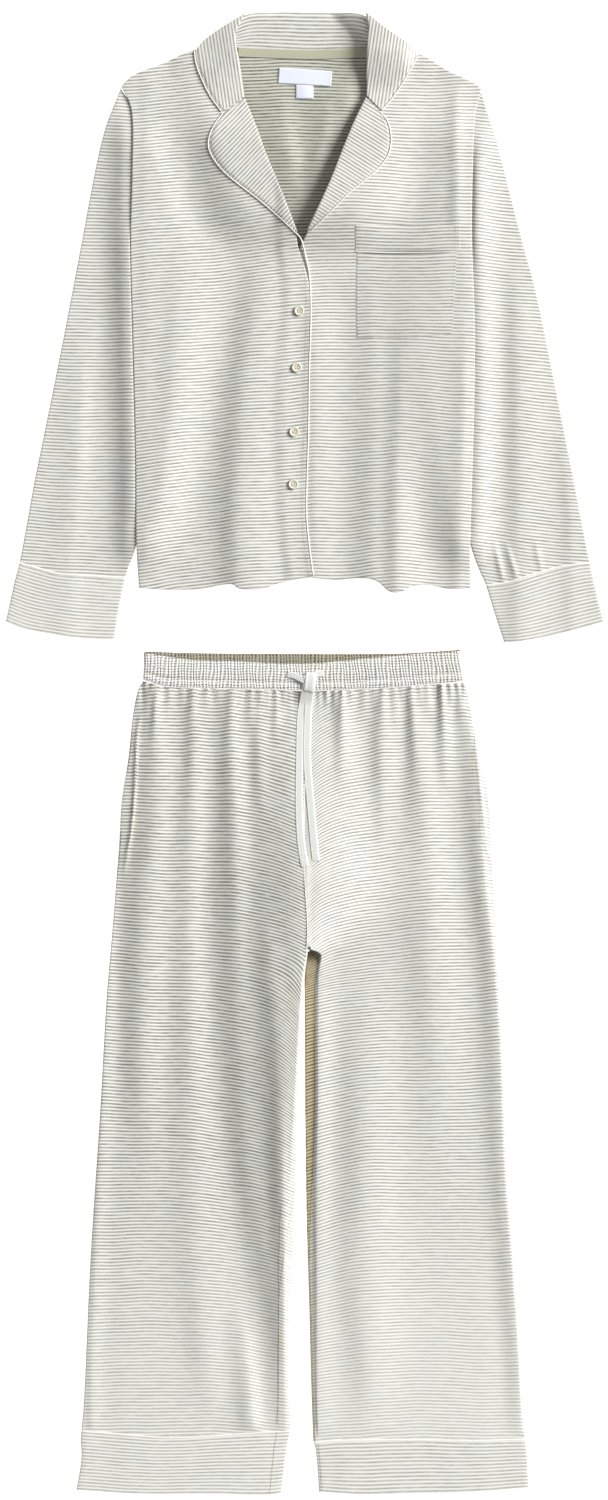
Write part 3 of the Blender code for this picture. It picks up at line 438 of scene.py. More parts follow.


def jersey_stripes():
    """Node group: uneven knitted stripes. Each dark line has soft edges and a strength of its own that
    comes and goes along it, and the yarn is flecked. They grow paler towards the trousers' hems, as
    painted light, and on gathered cloth they are lightened on the gathers' crests and stay dark in the
    valleys, as painted light and shade of the gathers."""
    group, given = effect("jersey_stripes", {
        "Place": ("Vector", None), "Pitch": ("Float", STRIPE_PITCH), "Dark share": ("Float", 0.46),
        "Soft edge": ("Float", 0.22), "Crest light": ("Float", 0.0), "Gather": ("Float", 0.0039),
        "Ecru": ("Color", ECRU), "Stripe": ("Color", STRIPE)})
    add, minus, times, over = arithmetic(group)
    u, v, _ = node(group, "ShaderNodeSeparateXYZ", {0: given["Place"]}).outputs

    def uneven(along_u, along_v, detail, seed):
        where = node(group, "ShaderNodeCombineXYZ", {0: along_u, 1: along_v, 2: seed}).outputs[0]
        return noise(group, where, 1.0, detail, Roughness=0.6)

    wander = times(minus(uneven(times(u, 45), times(v, 90), 2, 3.1), 0.5), 0.0005)
    phase = over(add(v, wander), given["Pitch"])
    line = calc(group, "FLOOR", phase)
    from_middle = times(calc(group, "ABSOLUTE", minus(calc(group, "FRACT", phase), 0.5)), 2.0)
    mask = ranged(group, from_middle, minus(given["Dark share"], given["Soft edge"]),
                  add(given["Dark share"], given["Soft edge"]), 1.0, 0.0, "SMOOTHSTEP")
    strength = ranged(group, uneven(times(u, 55), times(line, 5.37), 2, 0.0), 0.3, 0.65, 0.62, 1.0)
    fleck = ranged(group, uneven(times(u, 900), times(v, 2600), 1, 7.7), 0.3, 0.7, 0.86, 1.06)
    # Painted light and shade: the gathers' crests lighten the stripes and their valleys keep them dark, and the
    # stripes grow paler towards the hems.
    valley = ranged(group, zigzag(group, u, given["Gather"]), 0.12, 0.4, kind="SMOOTHSTEP")
    pale = ranged(group, v, PALE_TO, PALE_FROM, 0.66, 1.0, "SMOOTHSTEP")
    painted_light = minus(pale, times(minus(1.0, valley), given["Crest light"]))
    dark = times(times(mask, strength), times(fleck, painted_light), clamp=True)
    tint = blend(group, uneven(times(u, 24), times(v, 30), 1, 9.2), (1.035, 1.01, 0.965, 1), (0.975, 0.995, 1.03, 1))
    both = blend(group, dark, given["Ecru"], given["Stripe"])
    return put_out(group, Color=("Color", blend(group, 1.0, both, tint, blend_type="MULTIPLY")), Mask=("Float", mask))


KNIT = jersey_knit()
STRIPES = jersey_stripes()


def jersey_finish(name, ecru=ECRU, stripe=STRIPE, **settings):
    """The jersey in one of its shades."""
    finish, tree, shader = new_finish(name, {"Roughness": 0.92, "Sheen Weight": 0.12, "Sheen Roughness": 0.5,
                                             "Specular IOR Level": 0.25})
    place = node(tree, "ShaderNodeUVMap", uv_map="cloth").outputs[0]
    stripes = node(tree, "ShaderNodeGroup", {"Place": place, "Ecru": ecru, "Stripe": stripe, **settings},
                   node_tree=STRIPES)
    knit = node(tree, "ShaderNodeGroup", {"Place": place}, node_tree=KNIT)
    add, _, times, _ = arithmetic(tree)
    relief = add(knit.outputs["Height"], times(stripes.outputs["Mask"], -0.5))
    dress(tree, shader, stripes.outputs["Color"], relief, 0.35, 0.0003)
    return finish


striped_jersey = jersey_finish("striped_jersey")
# The back shows only inside the neck opening. Its jersey is painted darker than the fronts' as shade there, on top of
# the duller wrong side of the cloth.
back_shaded_jersey = jersey_finish("painted_shade_back_jersey", (0.58, 0.578, 0.505, 1), (0.135, 0.14, 0.108, 1))
BACK_FOLDS = [
    [(-34, 808, 0, 22, 14), (-28, 760, 2.6, 24, 14), (-18, 715, 3.4, 22, 11), (-12, 685, 1.4, 16, 8),
     (-8, 655, 0, 10, 6)],
    [(26, 800, 0, 16, 10), (24, 750, 2.4, 18, 9), (15, 710, 2.4, 14, 8), (8, 675, 0, 10, 6)],
    [(52, 830, 0, 20, 10), (50, 780, 2.4, 20, 9), (36, 740, 2, 14, 8), (26, 705, 0, 12, 8)],
]
patch = make_patch(SIDE_RIGHT, SIDE_LEFT, [*HEM_RIGHT, *HEM_LEFT[1:]],
                   [*SHOULDER_RIGHT, *BACK_NECK, *reversed(SHOULDER_LEFT)])
back_folds = lambda x, y: creased(x, y, BACK_FOLDS)
back = lay("shirt_back_cloth", patch, (110, 120), raised(ground, back_folds), finish=back_shaded_jersey)
cloth_for("shirt_back", back)

# ---------------------------------------------------------------- neck tape, label and size tab
# A woven olive tape covers the back neck seam inside. Under it a satin label is sewn down at its two
# short ends, with a small folded tab below it. Both are blank.
on_back = raised(ground, back_folds, LAYER, 0.1)


def weave_finish(name, light, dark, angle, pitch, roughness, sheen=0.0, fluffy=0.8, relief=0.5, rims=0.0):
    """Narrow woven goods: a zigzag twill in two close shades, lighter along rims this far from the middle."""
    finish, tree, shader = new_finish(name, {"Roughness": roughness, "Sheen Weight": sheen})
    add, minus, times, _ = arithmetic(tree)
    place = node(tree, "ShaderNodeUVMap", uv_map="cloth").outputs[0]
    u, v, _ = node(tree, "ShaderNodeSeparateXYZ", {0: place}).outputs
    twill = zigzag(tree, add(times(calc(tree, "PINGPONG", u, pitch * 6), angle), v), pitch)
    fluff = times(minus(noise(tree, place, 900.0, 2.0), 0.5), fluffy)
    mixed = add(times(twill, 1.6), fluff, clamp=True)
    if rims:
        rim = ranged(tree, calc(tree, "ABSOLUTE", v), 0.75 * rims, rims)
        mixed = add(times(mixed, 0.5), rim, clamp=True)
    dress(tree, shader, blend(tree, mixed, dark, light), twill, relief, 0.0003)
    return finish


def plain_grain(x, y):
    return np.stack([x, y], axis=-1) * MM


olive_tape = weave_finish("olive_tape", (0.54, 0.54, 0.41, 1), (0.37, 0.37, 0.26, 1), angle=1.0, pitch=0.0013,
                          roughness=0.85)
TAPE_SHORT, TAPE_BELOW, TAPE_ABOVE, TAPE_THICK = 0.96, 10, 1.5, 0.6  # from the neck seam, and its thickness
tape_low = [(x * TAPE_SHORT, y - TAPE_BELOW) for x, y in BACK_NECK]
tape_high = [(x * TAPE_SHORT, y + TAPE_ABOVE) for x, y in BACK_NECK]
tape = lay("neck_tape_cloth", framed(tape_low, tape_high), (80, 8), on_back, plain_grain, olive_tape, TAPE_THICK,
           "neck_tape")
cloth_for("neck_tape", tape)

white_satin = weave_finish("white_satin", (0.75, 0.78, 0.885, 1), (0.73, 0.76, 0.86, 1), angle=0.0, pitch=0.0005,
                           roughness=0.6, sheen=0.1, fluffy=0.0, relief=0.05)
LABEL = [(-32.4, 803.5), (31, 799.8)], [(-31.2, 822), (32.6, 818)]  # its lower and its upper edge
SIZE_TAB = [(-11, 785), (10, 785)], [(-11, 801.8), (10, 800.5)]
LABEL_THICK, LABEL_BOW = 0.5, 0.6
for name, (bottom, top), cut in (("label", LABEL, (0.064, 0.0185)), ("size_tab", SIZE_TAB, (0.021, 0.0163))):
    across = lambda x, x0=bottom[0][0], x1=bottom[1][0]: np.clip((x - x0) / (x1 - x0), 0, 1)
    bowed = lambda x, y, across=across: on_back(x, y) + LABEL_BOW * np.sin(math.pi * across(x))
    label = lay(name + "_cloth", framed(bottom, top), (24, 10), bowed, plain_grain, white_satin, LABEL_THICK, "label")
    cloth_for(name, label)

# ---------------------------------------------------------------- sleeves, cuffs and their piping
# Each sleeve is one panel folded into a tube and sewn along the underarm. A deep turned band ends it,
# with flat piping in the seam between them.
SLEEVE_OUT_RIGHT = [(-342, 229), (-332, 284), (-324, 328), (-296, 466), (-270, 601), (-251, 702), (-240, 748),
                    (-230, 775), (-221, 797)]
SLEEVE_IN_RIGHT = [(-215, 211), (-202, 250), (-189, 300), (-168, 400), (-154, 466), (-142, 585)]
SLEEVE_TOP_RIGHT = [(-221, 797), (-203, 768), (-192, 720), (-174, 650), (-142, 585)]
CUFF_SEAM_RIGHT = [(-342, 229), (-320, 223), (-298, 217), (-275, 215), (-244, 213), (-215, 211)]
CUFF_OUT_RIGHT = [(-359, 157), (-349, 203), (-342, 229)]
CUFF_IN_RIGHT = [(-228, 137), (-223, 172), (-215, 211)]
CUFF_END_RIGHT = [(-359, 157), (-338, 149), (-312, 144), (-282, 139), (-251, 137), (-228, 137)]
SLEEVE_OUT_LEFT = [(342, 229), (332, 280), (323, 328), (286, 514), (274, 568), (258, 626), (242, 689),
                   (229, 739), (218, 772), (212, 794)]
SLEEVE_IN_LEFT = [(217, 202), (203, 235), (192, 275), (172, 380), (158, 466), (140, 585)]
SLEEVE_TOP_LEFT = [(212, 794), (197, 764), (186, 715), (168, 650), (140, 585)]
CUFF_SEAM_LEFT = [(342, 229), (328, 228), (300, 223), (272, 215), (245, 206), (217, 202)]
CUFF_OUT_LEFT = [(359, 157), (349, 197), (342, 229)]
CUFF_IN_LEFT = [(239, 133), (230, 160), (217, 202)]
CUFF_END_LEFT = [(359, 157), (336, 151), (313, 145), (286, 139), (258, 134), (239, 133)]
PIPE_BAND = 1.9  # width of the piping that shows in a cuff or hem band seam
PIPE_PROUD = 0.45
SLEEVE_ROWS, SLEEVE_OVER, SLEEVE_UNDER = 110, 96, 16  # rows, and columns on top and underneath
BAND_ROWS, PIPING_ROWS, BAND_OVER, BAND_UNDER = 20, 6, 40, 14
CREAM = (0.83, 0.82, 0.77, 1)
RIGHT_CLIMB, CLIMB_CREST = 1.45, 0.9  # how much the right sleeve climbs, and how far from the body's edge
LEFT_FALL, ARMHOLE_FALL = 1.8, 1.4  # how much the left one falls, and how much more at the armhole
SLEEVE_PLUMP = 0.6
SLEEVE_CREASES = [
    [(253, 604, 0, 16, 26), (257, 508, 3, 16, 28), (258, 328, 3, 16, 28), (258, 232, 2.2, 16, 26)],
    [(306, 400, 0, 10, 14), (318, 304, 1.2, 10, 14), (320, 232, 0.8, 10, 14)],
    [(-260, 544, 0, 22, 12), (-270, 424, 1.4, 22, 12), (-277, 304, 1.6, 22, 14), (-282, 232, 1, 22, 14)],
    [(226, 262, 0, 4, 3), (231, 236, 1.2, 4, 3), (236, 214, 1.2, 4, 3), (238, 204, 0, 4, 3)],
    [(240, 258, 0, 4, 3), (247, 232, 1.1, 4, 3), (252, 216, 1.1, 4, 3), (254, 206, 0, 4, 3)],
    [(276, 262, 0, 4, 4), (279, 240, 1.0, 4, 4), (282, 226, 1.0, 4, 4), (284, 214, 0, 4, 4)],
]


def sleeve_rise(x, y):
    """How much the upper layer of a sleeve is raised. The right sleeve climbs to the body's edge, and
    the left one falls to it, most steeply below the armhole."""
    out = np.where(x < 0, x_on(SIDE_RIGHT, y) - x, x - x_on(SIDE_LEFT, y))
    crest = np.exp(-((out - CLIMB_CREST) / np.where(out < CLIMB_CREST, CLIMB_CREST, 11)) ** 2)
    climb = RIGHT_CLIMB * crest * ramp(y, 250, 310)
    armhole = ramp(y, 560, 620) * ramp(y, 745, 695)
    fall = (LEFT_FALL + ARMHOLE_FALL * armhole) * (1 - np.exp(-np.maximum(out, 0) / (7 - 4 * armhole)))
    fall = fall * ramp(y, 215, 275) * np.exp(-(out / 60) ** 2) * ramp(y, 770, 720)
    near_body = np.where(x < 0, climb * ramp(y, 660, 600), fall)
    return arm_rise(x, y) + (creased(x, y, SLEEVE_CREASES) + SLEEVE_PLUMP) * ramp(out, 3, 15) + near_body


def section(p, width, half, inset, closed):
    """(across, height) of a flattened tube's section, p round it from the middle of its first edge,
    over the top and back underneath. Where closed is 0 its far edge is open and its layers lie flat."""
    arc = half * math.pi / 2
    top = width - 2 * half + 2 * arc
    under = p > top
    q = np.where(under, 2 * top - p, p)
    turn = np.clip(q / arc, 0, 1) * math.pi / 2
    back = np.clip((top - q) / arc, 0, 1) * math.pi / 2
    small = half - inset
    across = np.where(q < arc, half - small * np.cos(turn),
                      np.where(q > top - arc, width - half + small * np.cos(back), q - arc + half))
    lift = np.where(q < arc, small * np.sin(turn), np.where(q > top - arc, small * np.sin(back), small))
    far = q > top / 2
    across = np.where(far, across * closed + (1 - closed) * q * width / top, across)
    lift = np.where(far, lift * closed + (1 - closed) * small, lift)
    return across, np.where(under, half - lift, half + lift)


def row_width(patch, b):
    return np.linalg.norm(patch(np.ones_like(b), b) - patch(np.zeros_like(b), b), axis=-1)


def lifted(xy, z, above, rise):
    """Points of a tube with its upper layer raised by rise(x, y), fading out down its rounded edges."""
    over = smooth((z - TUBE_HALF) / (0.2 * TUBE_HALF)) * above
    return np.concatenate([xy, np.maximum(z + rise(xy[..., 0], xy[..., 1]) * over, 0.0)[..., None]], axis=-1)


def flat_tube(name, patch, rows, over, under, rise, cloth_at, reach=(0.0, 1.0), proud=None, finish=None,
              slot="striped_jersey"):
    """A whole flattened tube: four columns for each rounded quarter, and more over it and under it."""
    quarter = np.linspace(0, 1, 4, endpoint=False)
    stops = np.concatenate([quarter, 1 + np.linspace(0, 1, over, endpoint=False), 2 + quarter, 3 + quarter,
                            4 + np.linspace(0, 1, under, endpoint=False), 5 + quarter])
    stop, b = np.meshgrid(stops, np.linspace(0, 1, rows + 1))
    at = reach[0] + (reach[1] - reach[0]) * b
    width = row_width(patch, at)
    arc, flat = TUBE_HALF * math.pi / 2, width - 2 * TUBE_HALF
    p = np.select([stop < 1, stop <= 2, stop <= 4, stop <= 5],
                  [stop * arc, arc + (stop - 1) * flat, arc + flat + (stop - 2) * arc,
                   3 * arc + flat + (stop - 4) * flat], 3 * arc + 2 * flat + (stop - 5) * arc)
    skins = []
    for inset in (-(proud(b) if proud else 0.0), CLOTH):
        across_at, z = section(p, width, TUBE_HALF, inset, 1.0)
        skins.append(lifted(patch(across_at / width, at), z, stop < 3, rise))
    place = skins[0]
    uv = cloth_at(place[..., 0], place[..., 1], across_at / width, at)
    uv = np.concatenate([uv, uv[:, :1]], axis=1)
    return shell(name, *skins, uv, finish or striped_jersey, slot, around=True)


def cream_finish(name, light, roughness):
    """Smooth bias-cut cotton, in fine slanting ribs."""
    finish, tree, shader = new_finish(name, {"Roughness": roughness, "Sheen Weight": 0.1})
    add, _, times, _ = arithmetic(tree)
    place = node(tree, "ShaderNodeTexCoord").outputs["Object"]
    x, y, _ = node(tree, "ShaderNodeSeparateXYZ", {0: place}).outputs
    rib = zigzag(tree, add(x, y), 0.0008)
    shade = add(times(rib, 0.5), times(noise(tree, place, 260.0, 2.0), 0.6))
    dark = tuple(c * 0.9 for c in light[:3]) + (1,)
    dress(tree, shader, blend(tree, shade, dark, light), rib, 0.3, 0.0002)
    return finish


cream_piping = cream_finish("cream_piping", CREAM, 0.75)
soft_piping = cream_finish("soft_cream_piping", (0.75, 0.745, 0.70, 1), 0.85)
jersey_band = jersey_finish("striped_jersey_band", stripe=(0.37, 0.375, 0.34, 1))


def deep_band(side, patch, depth, rise, names, trim):
    """A deep turned band and the ring of piping in the seam above it."""
    band_name, piping_name = names
    start, end = PIPE_BAND + 4 * GAP, 2 * GAP

    def band_grain(x, y, a, b):
        return np.stack([x, b * depth + ripple(x, y) * 0.4], axis=-1) * MM

    band = flat_tube(band_name + side + "_cloth", patch, BAND_ROWS, BAND_OVER, BAND_UNDER, rise, band_grain,
                     reach=(0, 1 - (start - GAP) / depth), finish=jersey_band)
    cloth_for(band_name + side, band)
    piping = flat_tube(piping_name + side + "_trim", patch, PIPING_ROWS, BAND_OVER, BAND_UNDER, rise,
                       lambda x, y, a, b: plain_grain(x, y), reach=(1 - start / depth, 1 - end / depth),
                       proud=lambda b: PIPE_PROUD * np.sin(math.pi * np.clip(b, 0, 1)) - 0.2,
                       finish=trim, slot="cream_piping")
    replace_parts(piping, piping_name + side)


for side, out, inner, top, seam, cuff_out, cuff_in, cuff_end, rise in (
    ("right", SLEEVE_OUT_RIGHT, SLEEVE_IN_RIGHT, SLEEVE_TOP_RIGHT, CUFF_SEAM_RIGHT, CUFF_OUT_RIGHT,
     CUFF_IN_RIGHT, CUFF_END_RIGHT, -0.04),
    ("left", SLEEVE_OUT_LEFT, SLEEVE_IN_LEFT, SLEEVE_TOP_LEFT, CUFF_SEAM_LEFT, CUFF_OUT_LEFT,
     CUFF_IN_LEFT, CUFF_END_LEFT, -0.12),
):
    sleeve_grain = lambda x, y, a, b, rise=rise: grain(x, y, rise)
    sleeve = flat_tube("sleeve_" + side + "_cloth", make_patch(out, inner, seam, top), SLEEVE_ROWS, SLEEVE_OVER,
                       SLEEVE_UNDER, sleeve_rise, sleeve_grain)
    cloth_for("sleeve_" + side, sleeve)
    deep_band(side, make_patch(cuff_out, cuff_in, cuff_end, seam), length_of(cuff_out), sleeve_rise,
              ("cuff_", "cuff_piping_"), soft_piping)

# ---------------------------------------------------------------- shirt fronts
# Two front panels of the same jersey. The right one laps over the left down the buttoned edge. Above
# the top button both fold back along the roll lines and stand off the back of the neck.
PIPE = 0.8  # radius of the corded piping
PIPE_CLEAR = 1.3  # from a piping's centre line to the cloth beside it
LAP_LIFT, LAP_RAMP, LAP = 1.9, 14.0, 24.0
FRONT_CLIMB = 0.11  # how steeply the right front's stripes climb
FRONT_PUFF = 1.2  # how far the fronts stand off the back between their edges
ROLL_LIFT_RIGHT, ROLL_LIFT_LEFT = 10.5, 11.0  # how much higher the fronts stand along the roll lines
FRONT_EDGE = [(10, 213), (6, 240), (2, 280), (2, 320), (4, 380), (5, 455), (7, 530), (5, 575), (0, 598)]
ROLL_RIGHT = [(-9, 624), (-26, 668), (-47, 719), (-60, 755), (-72, 785)]
ROLL_LEFT = [(2, 625), (28, 680), (47, 728), (61, 761), (73, 786)]
SHIRT_CREASES = [
    [(-46, 610, 0, 24, 30), (-54, 544, 4, 24, 34), (-66, 470, 5.6, 24, 44), (-72, 424, 6, 24, 46),
     (-78, 304, 7, 24, 48), (-76, 208, 6.5, 24, 48)],
    [(-148, 610, 0, 16, 30), (-150, 544, 1.8, 16, 34), (-156, 424, 2.6, 18, 36), (-166, 304, 1.8, 20, 36),
     (-168, 232, 0.6, 20, 36)],
    [(80, 600, 0, 24, 40), (84, 530, 2.6, 24, 50), (88, 424, 4, 26, 60), (86, 304, 5, 25, 60), (84, 208, 5, 23, 60)],
    [(122, 560, 0, 14, 30), (118, 480, 1.6, 14, 32), (116, 424, 3, 14, 32), (112, 304, 3.6, 13, 28),
     (112, 208, 3.6, 13, 26)],
    [(12, 566, 0, 10, 20), (12, 520, 2.2, 10, 24), (12, 300, 2.2, 10, 24), (14, 215, 1.6, 10, 22)],
    [(193, 508, 0, 10, 6), (191, 448, 1, 11, 7), (184, 214, 1, 11, 7)],
    [(182, 808, 0, 9, 7), (182, 772, 1.6, 9, 7), (182, 652, 1.6, 9, 7), (182, 604, 0, 9, 7)],
    [(-25, 544, 0, 6, 8), (-29, 484, 0.9, 6, 8), (-31, 364, 0.9, 6, 8), (-32, 280, 0, 6, 8)],
]


def roll_lift(x, y):
    """The fronts stand up along the roll lines, and lie down again away from them."""
    right, left = np.maximum(x_on(ROLL_RIGHT, y) - x, 0.0), np.maximum(x - x_on(ROLL_LEFT, y), 0.0)
    lift = np.where(x < 0.5 * (x_on(ROLL_RIGHT, y) + x_on(ROLL_LEFT, y)), ROLL_LIFT_RIGHT * ramp(right, 128, 46),
                    ROLL_LIFT_LEFT * (1 + 0.45 * ramp(y, 730, 660)) * ramp(left, 152, 40))
    return lift * ramp(y, 585, 655) * ramp(y, 835, 725)


def puff(x, y):
    """How far the shirt's fronts stand off its back."""
    inside = ramp(np.abs(x), 205, 145) * ramp(y, 800, 740) * ramp(y, 150, 240)
    return FRONT_PUFF * inside + creased(x, y, SHIRT_CREASES) + roll_lift(x, y)


def front_under(x, y):
    """Underside of the left front, and of the right one where it doesn't lap."""
    return ground(x, y) + CLOTH + 0.3 + 0.7 * ramp(np.abs(x), 203, 189) + puff(x, y)


def lap(x, y):
    """How much the right front climbs over the left one's edge."""
    return LAP_LIFT * smooth((x - x_on(FRONT_EDGE, y) + LAP + LAP_RAMP) / LAP_RAMP)


def front_grain(x, y):
    """The right front's stripes climb towards the buttons, the left one's lie nearly level."""
    climb = FRONT_CLIMB * ramp(x, 20, -40)
    return grain(x, y, climb, 0.5 * creased(x, y, SHIRT_CREASES))


front_inner = beside(FRONT_EDGE, PIPE_CLEAR, 12)
neck = [(-76, 785), (-84, 820), (-90, 846)]
edge_right = [*front_inner[:-1], (-8, 606), (-12, 628), *ROLL_RIGHT[1:-1], *neck]
patch = make_patch(SIDE_RIGHT, edge_right, [*HEM_RIGHT[:-1], edge_right[0]], [*SHOULDER_RIGHT, neck[-1]])
# A copy of the jersey with more of its dark stripe: painted shade over the whole right front.
right_front_shaded_jersey = jersey_finish("painted_shade_right_front_jersey", **{"Dark share": 0.53})
front_right = lay("shirt_front_right_cloth", patch, (64, 120), raised(front_under, lap), front_grain,
                  right_front_shaded_jersey)
cloth_for("shirt_front_right", front_right)

hidden = [(x - LAP, y) for x, y in FRONT_EDGE[:-1]]
neck = [(77, 786), (82, 820), (90, 845)]
edge_left = [*hidden, (-10, 598), (2, 622), *ROLL_LEFT[1:-1], *neck]
patch = make_patch(edge_left, SIDE_LEFT, [edge_left[0], *HEM_LEFT[1:]], [neck[-1], *reversed(SHOULDER_LEFT)])
front_left = lay("shirt_front_left_cloth", patch, (64, 120), front_under, front_grain)
cloth_for("shirt_front_left", front_left)

# ---------------------------------------------------------------- lapels and collar
# The lapels are the fronts' facings turned out. The collar is two layers of jersey: its ends lie on
# the fronts, and behind the neck it stands up from the seam and falls down the outside of the back.
LAPEL_EDGE_RIGHT = [(-7, 619), (-50, 658), (-93, 692), (-110, 712), (-116, 729), (-111, 748), (-98, 767)]
LAPEL_EDGE_LEFT = [(8, 626), (29, 646), (53, 670), (84, 696), (99, 715), (103, 735), (99, 756), (90, 768)]
LEAF_EDGE_RIGHT = [(-100, 768), (-114, 788), (-126, 813), (-131, 828), (-133, 842)]
LEAF_EDGE_LEFT = [(92, 770), (104, 784), (120, 808), (130, 826), (136, 838)]
LEAF_ROLL_RIGHT = [(-72, 787), (-78, 826), (-83, 862), (-70, 888)]
LEAF_ROLL_LEFT = [(74, 788), (74, 832), (76, 870), (72, 887)]
LEAF_TOP_RIGHT = [(-122, 854), (-100, 870)]  # between the piping and the roll line
LEAF_TOP_LEFT = [(124, 850), (108, 860)]
STAND_SEAM = [(-88, 847), (-45, 844.5), (0, 843), (45, 844), (85, 846)]
COLLAR_FOLD = [(-98, 869), (-70, 886), (-35, 889), (35, 889), (70, 886), (100, 863)]
COLLAR_PROFILE = [  # share from the stand's seam (0) to the fold (1) to the fall's edge (2), height
    (0.0, 2.7), (0.25, 3.2), (0.5, 3.6), (0.75, 4.0), (0.9, 3.9), (0.97, 3.2), (1.0, 1.9), (1.03, 0.7),
    (1.1, 0.0), (1.5, 0.0), (2.0, 0.0)]
TURN = 2.8  # how far a turned-out layer rounds over at its roll line
TURN_COLUMNS = 26
STAND_CLIMB, STAND_CREST = 12.2, 76  # how much higher the stand's left end is, and the x of its crest
LEAF_LIFT_RIGHT, LEAF_LIFT_LEFT = 3.0, 13.0  # how high the collar stands where its ends turn down
lapel_under = raised(front_under, CLOTH, 0.2)  # underside of a turned-out lapel


def leaf_under(x, y):
    """Underside of a collar end: on the front, and rising to the collar's fold beside the neck."""
    out = np.maximum(np.abs(x) - x_on(LEAF_ROLL_LEFT, y), 0.0)
    stand = ramp(y, 790, 846) * np.where(
        x > 0, LEAF_LIFT_LEFT * (0.5 * ramp(out, 78, 12) + 0.5 * ramp(out, 62, 44)),
        LEAF_LIFT_RIGHT * ramp(out, 52, 6))
    return front_under(x, np.minimum(y, 842)) + CLOTH + 0.3 + stand


def turned(name, piped, roll, top, rows, under, direction):
    """A turned-out layer between its piped edge and its roll line, where it rounds over and tucks down.
    Its stripes run in a direction, in degrees."""
    right = name.endswith("right")
    ends = [piped[0], roll[0]], [piped[-1], *top, roll[-1]]
    patch = make_patch(piped, roll, *ends) if right else make_patch(roll, piped, *(end[::-1] for end in ends))
    a, b = grid(TURN_COLUMNS, rows)
    a = 1 - (1 - a) ** 1.6 if right else a ** 1.6
    x, y = np.moveaxis(patch(a, b), -1, 0)
    width = row_width(patch, b)
    from_roll = np.minimum(((1 - a) if right else a) * width / TURN, 1.0)
    z = under(x, y) - 0.5 * (1 - from_roll) ** 2
    rim = a if right else 1 - a
    outer = np.stack([x, y, z + DOUBLE * (0.3 + 0.7 * rounded(0.5 * rim, 2 * width))], axis=-1)
    inner = np.stack([x, y, z], axis=-1)
    c, s = math.cos(math.radians(direction)), math.sin(math.radians(direction))
    uv = np.stack([x * c + y * s, y * c - x * s + 0.5 * ripple(x, y)], axis=-1) * MM
    cloth_for(name, shell(name + "_cloth", outer, inner, uv, striped_jersey, "striped_jersey"))


turned("lapel_right", beside(LAPEL_EDGE_RIGHT, -PIPE_CLEAR, 14)[1:], ROLL_RIGHT, [], 60,
       raised(lapel_under, lap), 45)
turned("lapel_left", beside(LAPEL_EDGE_LEFT, PIPE_CLEAR, 14)[1:], ROLL_LEFT, [], 60,
       lapel_under, -32)
turned("collar_leaf_right", beside(LEAF_EDGE_RIGHT, -PIPE_CLEAR, 8), LEAF_ROLL_RIGHT, LEAF_TOP_RIGHT, 40,
       leaf_under, 98)
turned("collar_leaf_left", beside(LEAF_EDGE_LEFT, PIPE_CLEAR, 8), LEAF_ROLL_LEFT, LEAF_TOP_LEFT, 40,
       leaf_under, 82)


def stand_rise(x, y):
    """The stand's left end climbs to where the collar turns down beside the neck."""
    start = np.interp(y, (845, 888), (70, 31))
    beyond = np.maximum(x - STAND_CREST, 0) / 22
    return STAND_CLIMB * np.clip((x - start) / (STAND_CREST - start), 0, 1) ** 0.95 * np.exp(-beyond ** 2)


profile = np.array(COLLAR_PROFILE)
seam, fold, fall = edge(STAND_SEAM), edge(COLLAR_FOLD), edge(FALL_EDGE)
a, b = grid(60, 60)
step = b * (len(profile) - 1)
share, level = (np.interp(step, range(len(profile)), column) for column in profile.T)
skins = []
for depth in (0, 1):
    t = np.minimum(share, 2 - share)[..., None]
    near = np.where((share > 1)[..., None], along(fall, a), along(seam, a))
    xy = near + (along(fold, a) - near) * t
    x = xy[..., 0]
    z = level + (share < 1) * smooth(share / 0.4) * smooth((1 - share) / 0.06) * stand_rise(x, xy[..., 1])
    if depth:
        z = np.where(share < 0.95, np.maximum(z - CLOTH, 0.0), np.where(share > 1.05, z + CLOTH, 1.9))
        xy[..., 1] -= np.where((share > 0.9) & (share < 1.1), CLOTH, 0.0)
    skins.append(np.concatenate([xy, z[..., None]], axis=-1))
uv = np.stack([skins[0][..., 0], share * 40 + 0.4 * ripple(skins[0][..., 0], share * 40)], axis=-1) * MM
collar = shell("collar_back_cloth", *skins, uv, striped_jersey, "striped_jersey")
cloth_for("collar_back", collar)

# ---------------------------------------------------------------- corded piping of the shirt
# A thin cord in a folded strip of cream cotton. It is sewn into the edge seams of the lapels, the front
# and the collar's ends, and stands proud of them.
PIPE_SUNK = 0.5  # height of the piping's centre over the underside of a lapel or a collar end
PIPE_STEP = 3.0  # length of each of its faces


def beside_route(points, level=1.0):
    """Directions sideways from a route and up from it. Its slope counts by level."""
    ahead = np.gradient(points, axis=0)
    ahead[:, 2] *= level
    ahead /= np.linalg.norm(ahead, axis=1)[:, None]
    side = np.cross(ahead, (0, 0, 1.0))
    side /= np.linalg.norm(side, axis=1)[:, None]
    return side, np.cross(side, ahead)


def swept(name, rings):
    """A mesh through rings of points, with its ends closed."""
    rows, sides = rings.shape[:2]
    faces = [(r * sides + s, r * sides + (s + 1) % sides, (r + 1) * sides + (s + 1) % sides, (r + 1) * sides + s)
             for r in range(rows - 1) for s in range(sides)]
    faces += [tuple(range(sides))[::-1], tuple((rows - 1) * sides + s for s in range(sides))]
    mesh = bpy.data.meshes.new(name)
    mesh.from_pydata((rings.reshape(-1, 3) * MM).tolist(), [], faces)
    bm = bmesh.new()
    bm.from_mesh(mesh)
    bmesh.ops.recalc_face_normals(bm, faces=bm.faces)
    bm.to_mesh(mesh)
    bm.free()
    return mesh


